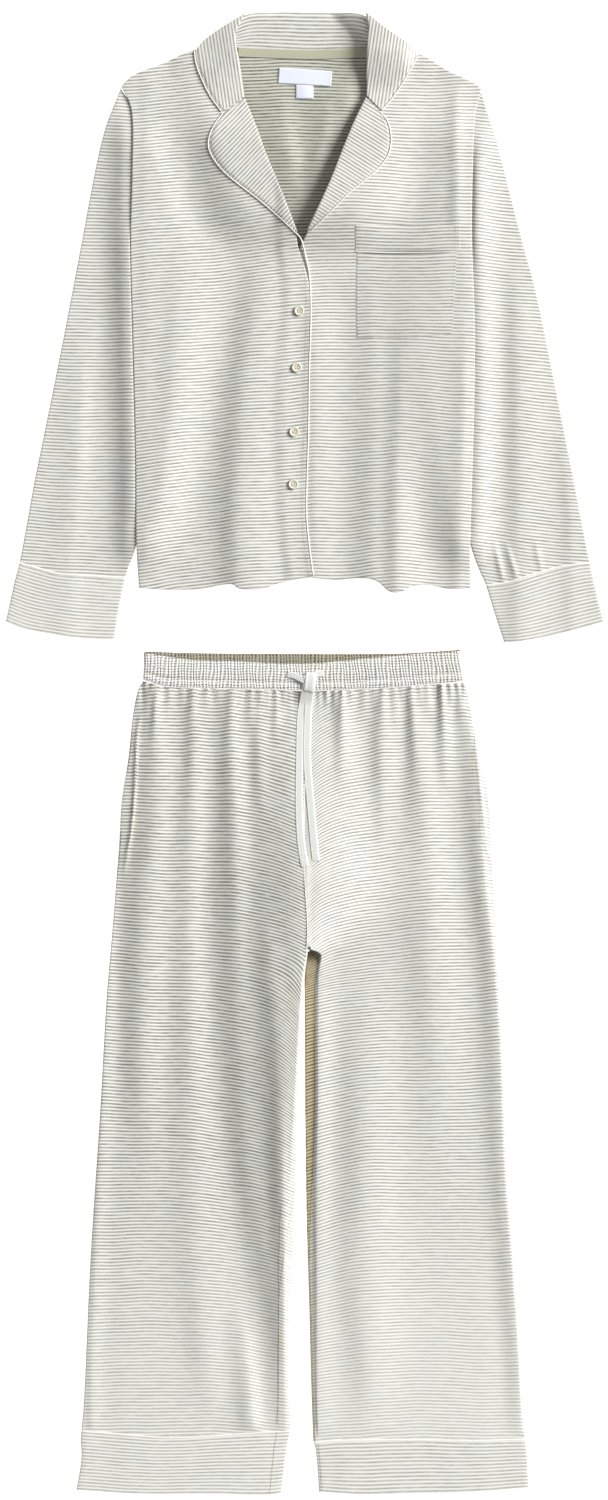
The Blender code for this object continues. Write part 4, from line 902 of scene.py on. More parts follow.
def rod(name, route, radius, finish, sides=10):
    """A round cord along a route, a little thinner at its ends."""
    p = np.array(route, float)
    side, up = beside_route(p)
    turn = np.linspace(0, 2 * math.pi, sides, endpoint=False)
    radii = np.full(len(p), radius)
    radii[[0, -1]] *= 0.7
    ring = side[:, None] * np.cos(turn)[None, :, None] + up[:, None] * np.sin(turn)[None, :, None]
    return add_piece(name, swept(name, p[:, None] + ring * radii[:, None, None]), finish, 60)


def corded(solid, points, height, radius=PIPE):
    """A run of corded piping along a line, with its centre at height(x, y)."""
    xy = along(edge(points), np.linspace(0, 1, max(6, round(length_of(points) / PIPE_STEP)) + 1))
    route = np.column_stack([xy, height(xy[:, 0], xy[:, 1])])
    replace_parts(rod(solid + "_trim", route, radius, cream_piping), solid)


def front_piping_height(x, y):
    on_lapel = lapel_under(x, y) + lap(x, y) + PIPE_SUNK
    on_edge = front_under(x, y) + LAP_LIFT + 0.1
    return on_edge + (on_lapel - on_edge) * ramp(y, 606, 622)


corded("piping_front_right", [*reversed(LAPEL_EDGE_RIGHT), (-3, 611), *reversed(FRONT_EDGE)], front_piping_height)
corded("piping_lapel_left", LAPEL_EDGE_LEFT, raised(lapel_under, PIPE_SUNK))
corded("piping_collar_right", LEAF_EDGE_RIGHT, raised(leaf_under, PIPE_SUNK))
corded("piping_collar_left", LEAF_EDGE_LEFT, raised(leaf_under, PIPE_SUNK))

# ---------------------------------------------------------------- breast pocket
# A patch pocket sewn round three sides, closed above by a turned band of double cloth with a line of
# piping between them.
POCKET_TOP = [(62, 599), (105, 597), (150, 597), (182, 598)]
POCKET_END = [(62, 498), (110, 497), (160, 500), (176, 503)]
POCKET_IN = [(62, 498), (61, 545), (62, 599)]
POCKET_OUT = [(176, 503), (179, 550), (182, 598)]
BAND_LEFT, BAND_RIGHT, BAND_BOTTOM, BAND_TOP = 60, 186, 602, 632
POCKET_SEAM = [(61, 601), (105, 599.5), (150, 599.5), (184, 601)]
POCKET_THICK, BAND_THICK, POCKET_RIM = 0.34, 0.5, 5.0
POCKET_TILT = 0.02  # how steeply its stripes climb
on_front = raised(front_under, CLOTH, 0.02)


def pocket_under(x, y):
    """The bag of the pocket stands off a little between its sewn sides."""
    inside = ramp(x, 62, 82) * ramp(x, 180, 160) * ramp(y, 500, 516)
    return on_front(x, y) + 0.6 * inside


pocket = lay("pocket_cloth", make_patch(POCKET_IN, POCKET_OUT, POCKET_END, POCKET_TOP), (36, 30), pocket_under,
             lambda x, y: grain(x, y, POCKET_TILT, 0.4 * creased(x, y, SHIRT_CREASES) + 1.5), thick=POCKET_THICK,
             rim=POCKET_RIM)
cloth_for("pocket", pocket)
patch = framed(*([(BAND_LEFT, y), (BAND_RIGHT, y)] for y in (BAND_BOTTOM, BAND_TOP)))
band = lay("pocket_band_cloth", patch, (36, 12), pocket_under, lambda x, y: grain(x, y, POCKET_TILT, 0.6),
           thick=BAND_THICK, rim=POCKET_RIM)
cloth_for("pocket_band", band)
corded("pocket_piping", POCKET_SEAM, raised(pocket_under, 0.2), 0.65)

# ---------------------------------------------------------------- stitching of the shirt
# Lockstitched rows in matching thread: along the buttoned edge, round the lapels, the collar's ends and
# the pocket, at the label's ends and along both edges of the neck tape.


def stitch_tree():
    """Geometry nodes: a run of stitches laid end to end along the edges of a mesh."""
    tree, given = effect("run_of_stitches", {
        "Lines": ("Geometry", None), "Spacing": ("Float", 0.0033), "Length": ("Float", 0.0021),
        "Thread": ("Float", 0.00026), "Seed": ("Int", 7), "Finish": ("Material", None)}, "GeometryNodeTree")
    curve = node(tree, "GeometryNodeMeshToCurve", {"Mesh": given["Lines"]}).outputs[0]
    points = node(tree, "GeometryNodeCurveToPoints", {"Curve": curve, "Length": given["Spacing"]}, mode="LENGTH")
    bead = node(tree, "GeometryNodeMeshUVSphere", {"Segments": 6, "Rings": 4, "Radius": 1.0}).outputs[0]
    uneven = node(tree, "FunctionNodeRandomValue", {2: 0.42, 3: 0.55, "Seed": given["Seed"]}, data_type="FLOAT")
    half = calc(tree, "MULTIPLY", given["Length"], uneven.outputs[1])
    size = node(tree, "ShaderNodeCombineXYZ", {0: given["Thread"], 1: given["Thread"], 2: half}).outputs[0]
    turn = node(tree, "FunctionNodeAlignRotationToVector", {"Vector": points.outputs["Tangent"]}, axis="Z").outputs[0]
    laid = node(tree, "GeometryNodeInstanceOnPoints", {"Points": points.outputs["Points"], "Instance": bead,
                                                       "Rotation": turn, "Scale": size}).outputs[0]
    real = node(tree, "GeometryNodeRealizeInstances", {"Geometry": laid}).outputs[0]
    dressed = node(tree, "GeometryNodeSetMaterial", {"Geometry": real, "Material": given["Finish"]}).outputs[0]
    return put_out(tree, Stitches=("Geometry", dressed))


STITCH_TREE = stitch_tree()
seam_thread = cream_finish("seam_thread", (0.56, 0.55, 0.49, 1), 0.85)


def sew(name, rows, finish=seam_thread, **settings):
    """Sews rows, each a line of points and the height(x, y) of the cloth under it."""
    points, runs = [], []
    for row, height in rows:
        xy = along(edge(row), np.linspace(0, 1, max(4, round(length_of(row) / 4)) + 1))
        runs += [(len(points) + k, len(points) + k + 1) for k in range(len(xy) - 1)]
        points += (np.column_stack([xy, height(xy[:, 0], xy[:, 1]) + 0.1]) * MM).tolist()
    lines = bpy.data.meshes.new(name + "_rows")
    lines.from_pydata(points, runs, [])
    guide = placed(name + "_rows", lines)
    sewing = guide.modifiers.new("stitches", "NODES")
    sewing.node_group = STITCH_TREE
    settings["Finish"] = finish
    for item in STITCH_TREE.interface.items_tree:
        if item.in_out == "INPUT" and item.name in settings:
            sewing[item.identifier] = settings[item.name]
    made = bpy.data.meshes.new_from_object(guide.evaluated_get(bpy.context.evaluated_depsgraph_get()))
    bpy.data.objects.remove(guide)
    made.materials.clear()
    return add_piece(name, made, finish)


on_leaf = raised(leaf_under, DOUBLE)
on_pocket, on_band = raised(pocket_under, POCKET_THICK), raised(pocket_under, BAND_THICK)
on_tape, on_label = raised(on_back, TAPE_THICK), raised(on_back, LABEL_THICK, 0.05)
FRONT_ROW, TURNED_ROW, POCKET_ROW, LABEL_ROW = 5.4, 4.4, 1.4, 1.4  # how far from its edge each row runs
sew("front_stitches", [(beside(FRONT_EDGE, FRONT_ROW), raised(front_under, lap, CLOTH))])
sew("lapel_stitches", [(beside(LAPEL_EDGE_RIGHT, -TURNED_ROW)[1:-1], raised(lapel_under, lap, DOUBLE)),
                       (beside(LAPEL_EDGE_LEFT, TURNED_ROW)[2:-1], raised(lapel_under, DOUBLE))])
sew("collar_stitches", [(beside(LEAF_EDGE_RIGHT, -TURNED_ROW)[1:-1], on_leaf),
                        (beside(LEAF_EDGE_LEFT, TURNED_ROW)[1:-1], on_leaf)])
sew("pocket_stitches", [([(x + dx * POCKET_ROW, y + dy * POCKET_ROW) for x, y in points], on_pocket)
                        for points, dx, dy in ((POCKET_IN, 1, 0), (POCKET_END, 0, 1), (POCKET_OUT, -1, 0))]
    + [([(x, BAND_BOTTOM), (x, BAND_TOP - 1)], on_band)
       for inset in (1.6, 5.0) for x in (BAND_LEFT + inset, BAND_RIGHT - inset)])
sew("neck_stitches", [([(x, y + 1) for x, y in tape_low], on_tape), ([(x, y - 1) for x, y in tape_high], on_tape)]
    + [([(foot[0] + inset, foot[1] + 0.8), (head[0] + inset, head[1] - 0.8)], on_label)
       for foot, head, inset in zip(*LABEL, (LABEL_ROW, -LABEL_ROW))], cream_piping, Spacing=0.0024, Length=0.0017)

# ---------------------------------------------------------------- buttons
# Four turned plastic buttons, clouded like horn, with a raised rim and four holes. Each is sewn to the
# right front with two bars of thread.
BUTTONS = [(-7, 530), (-10, 462), (-13, 385), (-14, 322)]  # centre of each button, top to bottom
BUTTON_PROFILE = [  # radius, height
    (0, 1.7), (3.4, 1.7), (3.9, 1.8), (4.5, 2.3), (5.1, 2.4), (5.6, 2.2), (5.95, 1.7), (6.0, 1.2), (5.7, 0.5),
    (5.0, 0.1), (4.4, 0.0), (0, 0.0)]
BUTTON_HOLE, BUTTON_HOLE_AT = 0.8, 1.55
BUTTON_FACES = 40  # round its rim
BAR_RADIUS, BAR_FOOT, BAR_ARCH, BAR_REACH = 0.35, 1.55, 0.45, 1.15  # the reach is in hole distances

button_finish, tree, shader = new_finish("horn_plastic", {"Roughness": 0.32})
place = node(tree, "ShaderNodeTexCoord").outputs["Object"]
cloud = noise(tree, place, 160.0, 3.0, Distortion=1.2)
tree.links.new(blend(tree, cloud, (0.58, 0.52, 0.40, 1), (0.80, 0.76, 0.65, 1)), shader.inputs["Base Color"])
thread_finish = cream_finish("cream_thread", (0.80, 0.79, 0.73, 1), 0.8)


def bare_object(name, bm):
    """An object for a bmesh, to be cut or to cut with."""
    mesh = bpy.data.meshes.new(name)
    bm.to_mesh(mesh)
    bm.free()
    return placed(name, mesh)


bm = bmesh.new()
verts = [bm.verts.new((r * MM, 0, h * MM)) for r, h in BUTTON_PROFILE]
edges = [bm.edges.new(pair) for pair in zip(verts, verts[1:])]
bmesh.ops.spin(bm, geom=[*verts, *edges], cent=(0, 0, 0), axis=(0, 0, 1), angle=2 * math.pi,
               steps=BUTTON_FACES)
bmesh.ops.remove_doubles(bm, verts=bm.verts, dist=1e-6)
bmesh.ops.recalc_face_normals(bm, faces=bm.faces)
blank = bare_object("button_blank", bm)
bm = bmesh.new()
for sx, sy in ((-1, -1), (-1, 1), (1, -1), (1, 1)):
    made = bmesh.ops.create_cone(bm, cap_ends=True, segments=12, radius1=BUTTON_HOLE * MM,
                                 radius2=BUTTON_HOLE * MM, depth=10 * MM)
    bmesh.ops.translate(bm, verts=made["verts"], vec=(sx * BUTTON_HOLE_AT * MM, sy * BUTTON_HOLE_AT * MM, 0))
cutter = bare_object("button_cutter", bm)
cut = blank.modifiers.new("thread holes", "BOOLEAN")
cut.operation = "DIFFERENCE"
cut.object = cutter
drilled = bpy.data.meshes.new_from_object(blank.evaluated_get(bpy.context.evaluated_depsgraph_get()))
bpy.data.objects.remove(blank)
bpy.data.objects.remove(cutter)
for number, (x, y) in enumerate(BUTTONS, 1):
    z = float(front_under(np.array([x]), np.array([y]))[0]) + LAP_LIFT + CLOTH + 0.5
    mesh = drilled.copy()
    mesh.transform(Matrix.Translation((x * MM, y * MM, z * MM)))
    button = add_piece(f"button_{number}_disc", mesh, button_finish, 35)
    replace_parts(button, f"button_{number}")
    for bar, dx in (("a", -BUTTON_HOLE_AT), ("b", BUTTON_HOLE_AT)):
        route = [(x + dx, y + BUTTON_HOLE_AT * t, z + BAR_FOOT + BAR_ARCH * math.cos(math.pi * t / 2))
                 for t in np.linspace(-BAR_REACH, BAR_REACH, 7)]
        rod(f"button_{number}_thread_{bar}", route, BAR_RADIUS, thread_finish, 6)

# ---------------------------------------------------------------- trouser legs
# Each leg is a front and a back panel, a tube below the crotch. The waist is gathered into its band,
# and the cloth hangs from it in long uneven folds. A slanting pocket mouth opens at each side.
CROTCH_Y = -241
MOUTH_WRAP = 14.0  # how far the back shows round the front at the pocket mouth
MOUTH_TOP, MOUTH_END = 40, -150
INSEAM_WRAP = 16.0  # how far the back wraps to the front at the inseam, near the hem
SEWN_FLANK = 3.2  # over this width the left front comes down to its inseam
STRIP = 12.6  # the strip of its back that shows beside the left leg's front
WAIST_SEAM = [(-194, 88), (-167, 80), (-115, 78), (-40, 76), (30, 75.5), (95, 78), (143, 82), (191, 86)]
CENTRE_SEAM = [(2, -241), (3, -205), (-1, -136), (0, -30), (3, 74)]
LEG_OUT_RIGHT = [(-268, -812), (-265, -776), (-257, -602), (-245, -419), (-238, -296), (-231, -214), (-223, -109),
                 (-220, -58), (-212, -7), (-206, 47), (-200, 76), (-194, 86)]
LEG_IN_RIGHT = [(-17, -812), (-17, -695), (-12, -541), (-7, -358), (-4, -290), (-1.2, -260),
                (0.8, -249), (1, -241)]
LEG_OUT_LEFT = [(265, -822), (260, -776), (254, -664), (242, -480), (234, -296), (226, -149), (220, -55),
                (211, -7), (202, 35), (196, 70), (191, 84)]
LEG_IN_LEFT = [(10, -826), (8, -776), (5, -664), (2, -560), (0.4, -450), (-0.4, -330), (-0.6, -285),
               (-0.2, -262), (1.6, -249), (4, -241)]
BAND_SEAM_RIGHT = [(-268, -812), (-240, -814.2), (-207, -817), (-172, -819.2), (-140, -819.2), (-108, -817.4),
                   (-77, -815.2), (-46, -813), (-17, -812)]
BAND_SEAM_LEFT = [(265, -822), (199, -823), (127, -822), (44, -823), (10, -826)]
BAND_OUT_RIGHT = [(-274, -884), (-268, -845), (-269, -826), (-268, -812)]
BAND_IN_RIGHT = [(-28, -888), (-22, -838), (-17, -812)]
BAND_END_RIGHT = [(-274, -884), (-211, -888), (-128, -889), (-44, -890), (-28, -888)]
BAND_OUT_LEFT = [(269, -881), (267, -845), (265, -822)]
BAND_IN_LEFT = [(17, -886), (13, -836), (10, -826)]
BAND_END_LEFT = [(269, -881), (209, -886), (148, -888), (65, -889), (17, -886)]
LEG_CREASES_RIGHT = [
    [(-178, 76, 1.5, 15, 14), (-178, -8, 3.4, 18, 18), (-186, -152, 3.6, 22, 22), (-190, -248, 3.6, 22, 22),
     (-194, -368, 3, 20, 22), (-190, -470, 1.2, 20, 22), (-188, -560, 0, 20, 22)],
    [(-134, 76, 1.5, 9, 12), (-134, -8, 2.8, 9, 14), (-138, -152, 2.6, 20, 15), (-138, -368, 2.8, 20, 18),
     (-136, -488, 2.4, 22, 24), (-130, -608, 2.4, 24, 30), (-119, -728, 2, 18, 22), (-116, -800, 0, 18, 20)],
    [(-90, 76, 1.5, 11, 12), (-88, -8, 3, 12, 13), (-83, -152, 1.8, 14, 14), (-82, -248, 0.8, 14, 10),
     (-78, -368, 0.9, 14, 11), (-68, -488, 1.4, 14, 12), (-50, -608, 1, 14, 12), (-36, -690, 0, 14, 12)],
    [(-56, 76, 1, 8, 8), (-55, -8, 2, 8, 9), (-52, -90, 0, 8, 9)],
    [(-46, -180, 0, 12, 10), (-42, -248, 1.4, 12, 12), (-31, -368, 2, 12, 14), (-28, -488, 2.6, 12, 8),
     (-26, -608, 3, 14, 6), (-25, -728, 3.4, 16, 6), (-24, -800, 1.4, 14, 6)],
    [(-235, -128, 0, 5, 9), (-238, -176, 2, 5, 12), (-240, -344, 2, 5, 12), (-248, -536, 1.2, 5, 12),
     (-256, -728, 0.8, 5, 10)],
    [(-83, -650, 0, 14, 10), (-71, -728, 2.2, 16, 11), (-64, -800, 2.6, 14, 10), (-60, -826, 0, 12, 10)],
    [(-196, 50, 0, 2.5, 2.5), (-201, 24, 1.2, 2.5, 2.5), (-206, -71, 1.4, 2.5, 2.5), (-214, -128, 1.0, 2.5, 2.5),
     (-217, -148, 0, 2.5, 2.5)],
]
LEG_CREASES_LEFT = [
    [(12, -180, 0, 8, 24), (14, -236, 1.2, 5, 22), (17, -262, 2.2, 6, 18), (16, -420, 3, 6, 16),
     (15, -584, 2.6, 5, 18), (16, -700, 2, 6, 20), (17, -812, 1, 7, 20)],
    [(44, 76, 1.5, 8, 12), (44, 16, 2.4, 8, 12), (46, -56, 0, 8, 12)],
    [(92, 76, 2, 10, 16), (92, -8, 3.4, 10, 18), (94, -80, 1.6, 10, 18), (95, -140, 0, 10, 18)],
    [(132, 76, 2, 12, 18), (137, -8, 4, 13, 20), (148, -152, 4, 34, 24), (150, -248, 4, 26, 32),
     (158, -368, 2.8, 28, 34), (158, -488, 1, 28, 34), (158, -596, 0, 24, 30)],
    [(167, 76, 2, 8, 9), (167, 4, 2.4, 8, 9), (169, -56, 0, 8, 9)],
    [(193, 46, 1.5, 14, 5), (204, -8, 2.4, 15, 5), (215, -152, 4.4, 16, 7), (226, -248, 4.6, 17, 6),
     (234, -368, 4.4, 18, 5), (238, -488, 4, 17, 5), (247, -608, 3, 15, 5), (256, -728, 2, 13, 5),
     (258, -800, 1, 12, 5)],
    [(74, -248, 0, 26, 34), (73, -368, 3.4, 28, 38), (72, -488, 4.6, 27, 40), (70, -608, 4, 30, 42),
     (76, -728, 3, 22, 34), (78, -800, 1, 20, 30)],
    [(204, 38, 0, 2.5, 2.5), (209, -20, 1.2, 2.5, 2.5), (216, -90, 1.4, 2.5, 2.5), (222, -140, 0, 2.5, 2.5)],
    [(1, -120, 0, 2, 5), (0.5, -150, 1.2, 2, 5), (0.5, -194, 1.4, 2, 5), (3, -234, 1.4, 2, 5), (4, -246, 0, 2, 5)],
]
# The right leg climbs in broad steps towards its inner edge: (x, y, rise, width) of each step.
LEG_STEPS = [
    [(-146, 60, 0, 30), (-150, -8, 1.4, 30), (-212, -152, 2, 34), (-214, -248, 2.2, 34), (-212, -368, 1.6, 34),
     (-205, -488, 0, 34)],
    [(-100, 60, 0, 40), (-101, -8, 2.2, 40), (-99, -152, 6.2, 50), (-97, -248, 6.6, 50), (-88, -368, 6.4, 50),
     (-76, -488, 5.4, 48), (-60, -608, 3, 40), (-50, -728, 0, 40)],
    [(-45, 60, 0, 60), (-44, -8, 4.4, 60), (-39, -152, 10.8, 78), (-42, -248, 10.8, 76), (-43, -368, 10, 68),
     (-41, -488, 8, 52), (-38, -608, 5.4, 44), (-36, -728, 1.4, 36), (-34, -812, 0, 36)],
]
INNER_EDGE = [  # x, y and the width over which the steps come down again beyond the leg's inner edge
    (1, 84, 40), (1, -8, 60), (0, -136, 78), (1, -170, 74), (2, -195, 62), (1, -215, 46), (1, -232, 30),
    (0, -246, 14), (-3, -262, 5), (-6, -300, 3.5),
    (-13, -420, 7), (-26, -600, 13), (-28, -760, 12), (-29, -830, 8)]
GATHER_DEPTH = 0.72  # share of the heights in the next table
TUCK_DEPTH = 0.7  # of the fine tucks just below the waistband
WAIST_GATHERS = [  # x of a short crease below the waistband, its length and its height
    (-186, 40, 2.0), (-178, 92, 3.2), (-161, 36, 2.6), (-148, 30, 2.2), (-134, 60, 2.8), (-118, 36, 3.0),
    (-103, 29, 2.4), (-88, 80, 3.2), (-79, 34, 2.2), (-66, 72, 3.0), (-52, 29, 2.6), (-43, 40, 2.2),
    (-34, 84, 3.0), (-24, 30, 2.2), (26, 30, 2.4), (36, 46, 2.4), (44, 84, 2.8), (56, 31, 2.6), (70, 48, 3.0),
    (80, 24, 2.2), (92, 60, 2.6), (108, 72, 3.0), (118, 30, 2.2), (127, 132, 3.2), (140, 34, 2.2),
    (148, 48, 2.8), (163, 84, 3.0), (176, 36, 2.6), (185, 60, 2.4)]


def band_puff(x, y):
    """Air inside the trouser legs, none at their edges."""
    return 0.5 * ramp(np.abs(x), 25, 55) * ramp(np.abs(x), 240, 210)


def stepped(x, y):
    """Height of the broad steps up to the right leg's inner edge, and down again beyond it."""
    z = np.zeros(np.shape(x))
    for step in LEG_STEPS:
        at = np.array(step[::-1], float)
        middle, rise, width = (np.interp(y, at[:, 1], at[:, k]) for k in (0, 2, 3))
        z += rise * smooth((x - middle) / width + 0.5)
    inner = np.array(INNER_EDGE[::-1], float)
    beyond = np.maximum(x - np.interp(y, inner[:, 1], inner[:, 0]), 0) / np.interp(y, inner[:, 1], inner[:, 2])
    return z * np.exp(-beyond ** 2)


def leg_rise(x, y):
    """Folds of the legs."""
    side = np.where(x < x_on(CENTRE_SEAM, y), creased(x, y, LEG_CREASES_RIGHT), creased(x, y, LEG_CREASES_LEFT))
    tucks = TUCK_DEPTH * np.exp(-(76 - y) / 12) * np.cos(x * 0.66 + 2 * np.sin(x / 31))
    return (side + stepped(x, y) + gathered(x, y) + tucks) * ramp(y, -824, -804) + band_puff(x, y)


def gathered(x, y):
    """The short creases that fan out of the waistband's gathers."""
    gathers = np.zeros(np.shape(x))
    for at, long, high in WAIST_GATHERS:
        fade = smooth((y - 78 + long) / long)
        off = x - at - 0.0003 * at * (78 - y)
        gathers += GATHER_DEPTH * high * fade * np.exp(-(off / (np.where(off < 0, 2.6, 4.0) + 3 * (1 - fade))) ** 2)
    return gathers


def outseam(y):
    """How far from the outer edge the front's side seam lies."""
    return MOUTH_WRAP * smooth((MOUTH_TOP - y) / 70) * smooth((y - MOUTH_END) / 60)


def inseam(y):
    """How far from the inner edge the right leg's inseam lies on the front."""
    return INSEAM_WRAP * ramp(y, -480, -660)


def inseam_left(y):
    """The left leg's inseam shows from the crotch down, beside a strip of its back."""
    opening = np.sqrt(np.clip((-235 - y) / 7, 0, 1))
    return (STRIP + 2 * ramp(y, -300, -250)) * opening * (1 - 0.75 * ramp(y, -400, -640))


def leg_closed(y):
    """1 where the leg is a tube, 0 above the crotch, where the halves of the trousers meet."""
    return smooth((CROTCH_Y - y) / 30)


# The right leg's copy of the jersey has darker and more stripe: painted shade over the whole leg.
right_leg_shaded_jersey = jersey_finish("painted_shade_right_leg_jersey", stripe=(0.235, 0.24, 0.205, 1),
                                 **{"Dark share": 0.54})
# Painted shade: the strip of the left back that shows between the legs is dark olive-brown.
strip_shaded_jersey = jersey_finish("painted_shade_strip_jersey", (0.51, 0.43, 0.28, 1), (0.09, 0.065, 0.025, 1))


LEG_COLUMNS, LEG_ROWS = 76, 230
CROWD = 0.6  # how much closer the columns lie at a panel's sides


def leg_panel(name, patch, span, grain_at, rides_up, sewn_down):
    """The part of a leg's tube that span(outer y, inner y, once round) cuts out of its ring. Where the
    left back shows inside the inseam it doesn't ride up, and the front is sewn down to it."""
    corner = np.linspace(0, 1, 4, endpoint=False)
    middle = np.linspace(0, 1, LEG_COLUMNS, endpoint=False)
    middle = middle - CROWD * np.sin(2 * math.pi * middle) / (2 * math.pi)
    stops = np.concatenate([corner, 1 + middle, 2 + corner, [3.0]])
    stop, b = np.meshgrid(stops, np.linspace(0, 1, LEG_ROWS + 1))
    width = row_width(patch, b)
    once = 2 * (width - 2 * TUBE_HALF + math.pi * TUBE_HALF)
    first, last = span(patch(np.zeros_like(b), b)[..., 1], patch(np.ones_like(b), b)[..., 1], once)
    arc = TUBE_HALF * math.pi / 2
    p = np.select([stop < 1, stop < 2], [first + stop * arc, first + arc + (stop - 1) * (last - first - 2 * arc)],
                  last - (3 - stop) * arc) % once
    shut = leg_closed(patch(np.ones_like(b), b)[..., 1])
    above = ((p <= once / 2) & ((p < 0.3 * once) | rides_up)).astype(float)
    if sewn_down:
        above *= 1 - smooth((once / 2 - last) / 4) * (1 - smooth((last - p) / SEWN_FLANK))
    skins = []
    for inset in (0.0, CLOTH):
        across_at, z = section(p, width, TUBE_HALF, inset, shut)
        skins.append(lifted(patch(across_at / width, b), z, above, leg_rise))
    uv = grain_at(skins[0][..., 0], skins[0][..., 1])
    # The right leg's panels take the jersey painted darker as shade.
    panel = shell(name, *skins, uv, right_leg_shaded_jersey if "right" in name else striped_jersey, "striped_jersey")
    # The low strip of the left back beside the inseam takes the painted olive-brown shade.
    if name == "leg_back_left_cloth":
        panel.data.materials.append(strip_shaded_jersey)
        low = np.array([v.co for v in panel.data.vertices])
        for polygon in panel.data.polygons:
            middle = low[list(polygon.vertices)].mean(axis=0)
            if middle[2] > 1.5 * TUBE_HALF * MM and 0 < middle[0] < 0.05:
                polygon.material_index = 1
    return panel


for side, out, inner, seam, band_out, band_in, band_end, creases in (
    ("right", LEG_OUT_RIGHT, LEG_IN_RIGHT, BAND_SEAM_RIGHT, BAND_OUT_RIGHT, BAND_IN_RIGHT, BAND_END_RIGHT,
     LEG_CREASES_RIGHT),
    ("left", LEG_OUT_LEFT, LEG_IN_LEFT, BAND_SEAM_LEFT, BAND_OUT_LEFT, BAND_IN_LEFT, BAND_END_LEFT,
     LEG_CREASES_LEFT),
):
    sign = -1 if side == "right" else 1
    centre = [(x + sign * GAP, y) for x, y in CENTRE_SEAM]
    waist = sorted([p for p in WAIST_SEAM if p[0] * sign > 10], key=lambda p: -abs(p[0]))
    top = [out[-1], *[(x, y - 2 * GAP) for x, y in waist[1:]], centre[-1]]
    patch = make_patch(out, [*inner[:-1], *centre], seam, top)

    def leg_grain(x, y, sign=sign, creases=creases):
        """Stripes fall towards the centre seam and the inseam, more steeply on the left leg."""
        out, above = np.abs(x), ramp(y, -300, -240)
        if sign < 0:
            near = np.maximum(x_on(LEG_IN_RIGHT, y) - x, 0)
            fall = (30 * np.exp(-out / 55)
                    + 20 * np.exp(-near / 24) * ramp(y, -235, -295) * ramp(y, -520, -360))
        else:
            fall = 12 * above * np.exp(-out / 12) + (20 + 14 * above) * np.exp(-out / 58)
        fade = 0.3 + 0.7 * ramp(y, -840, -590) * (ramp(y, 60, -100) if sign < 0 else 1)
        near_waist = ramp(y, -90, 30)
        sag = (0.4 + 0.4 * near_waist) * creased(x, y, creases[1:]) + 0.6 * near_waist * gathered(x, y)
        return grain(x, y, 0.0, sag - fall * fade)

    wrap = inseam if side == "right" else inseam_left
    front_span = lambda y, low, once, wrap=wrap: (outseam(y) + GAP / 2, once / 2 - wrap(low) - GAP / 2)
    back_span = lambda y, low, once, wrap=wrap: (once / 2 - wrap(low) + GAP / 2, once + outseam(y) - GAP / 2)
    for part, span in (("leg_front_", front_span), ("leg_back_", back_span)):
        front = part == "leg_front_"
        panel = leg_panel(part + side + "_cloth", patch, span, leg_grain, front or side == "right",
                          front and side == "left")
        cloth_for(part + side, panel)
    deep_band(side, make_patch(band_out, band_in, band_end, seam), length_of(band_out), band_puff,
              ("leg_band_", "leg_piping_"), cream_piping)

# ---------------------------------------------------------------- waistband
# A casing of jersey over wide elastic, gathered all round. Rows of stitching hold the elastic and
# leave a narrow channel at its foot, and the gathers run up it close together.
GATHERS = 97
GATHER_PITCH = 0.0039  # metres of cloth
GATHER_HEIGHT = 0.36
# Painted light and shade of the gathers: the front band's stripes are darker, and lightened on the gathers' crests.
# The back band's inside is a darker copy of the jersey, as painted shade.
gathered_shaded_jersey = jersey_finish("painted_light_gathered_jersey", (0.745, 0.74, 0.705, 1), (0.105, 0.10, 0.08, 1),
                                **{"Pitch": 0.0032, "Crest light": 0.8, "Gather": GATHER_PITCH, "Dark share": 0.5})
waist_inside_shaded_jersey = jersey_finish("painted_shade_waist_inside_jersey", (0.40, 0.375, 0.29, 1),
                                       (0.03, 0.025, 0.015, 1),
                                       **{"Pitch": 0.0036, "Crest light": 0.95, "Gather": GATHER_PITCH,
                                          "Dark share": 0.8})
WAIST_HALF = 2.9
ELASTIC = 1.6
WAIST_SIDE_RIGHT = [(-194, 88), (-193, 104), (-192, 121)]
WAIST_SIDE_LEFT = [(191, 86), (188, 104), (185, 123)]
WAIST_TOP_FRONT = [(-192, 120), (-137, 112), (-84, 110), (-7, 107), (40, 110), (78, 114), (126, 118), (185, 122)]
WAIST_TOP_BACK = [(-193, 122), (-131, 120), (0, 119), (78, 119), (126, 120), (186, 124)]
WAIST_PUFF = [  # share up the band, how full it stands between its rows of stitching
    (0.0, -0.5), (0.13, 0.5), (0.27, -0.7), (0.36, 0.4), (0.62, 0.7), (0.88, 0.3), (0.94, -0.3), (1.0, 0.0)]


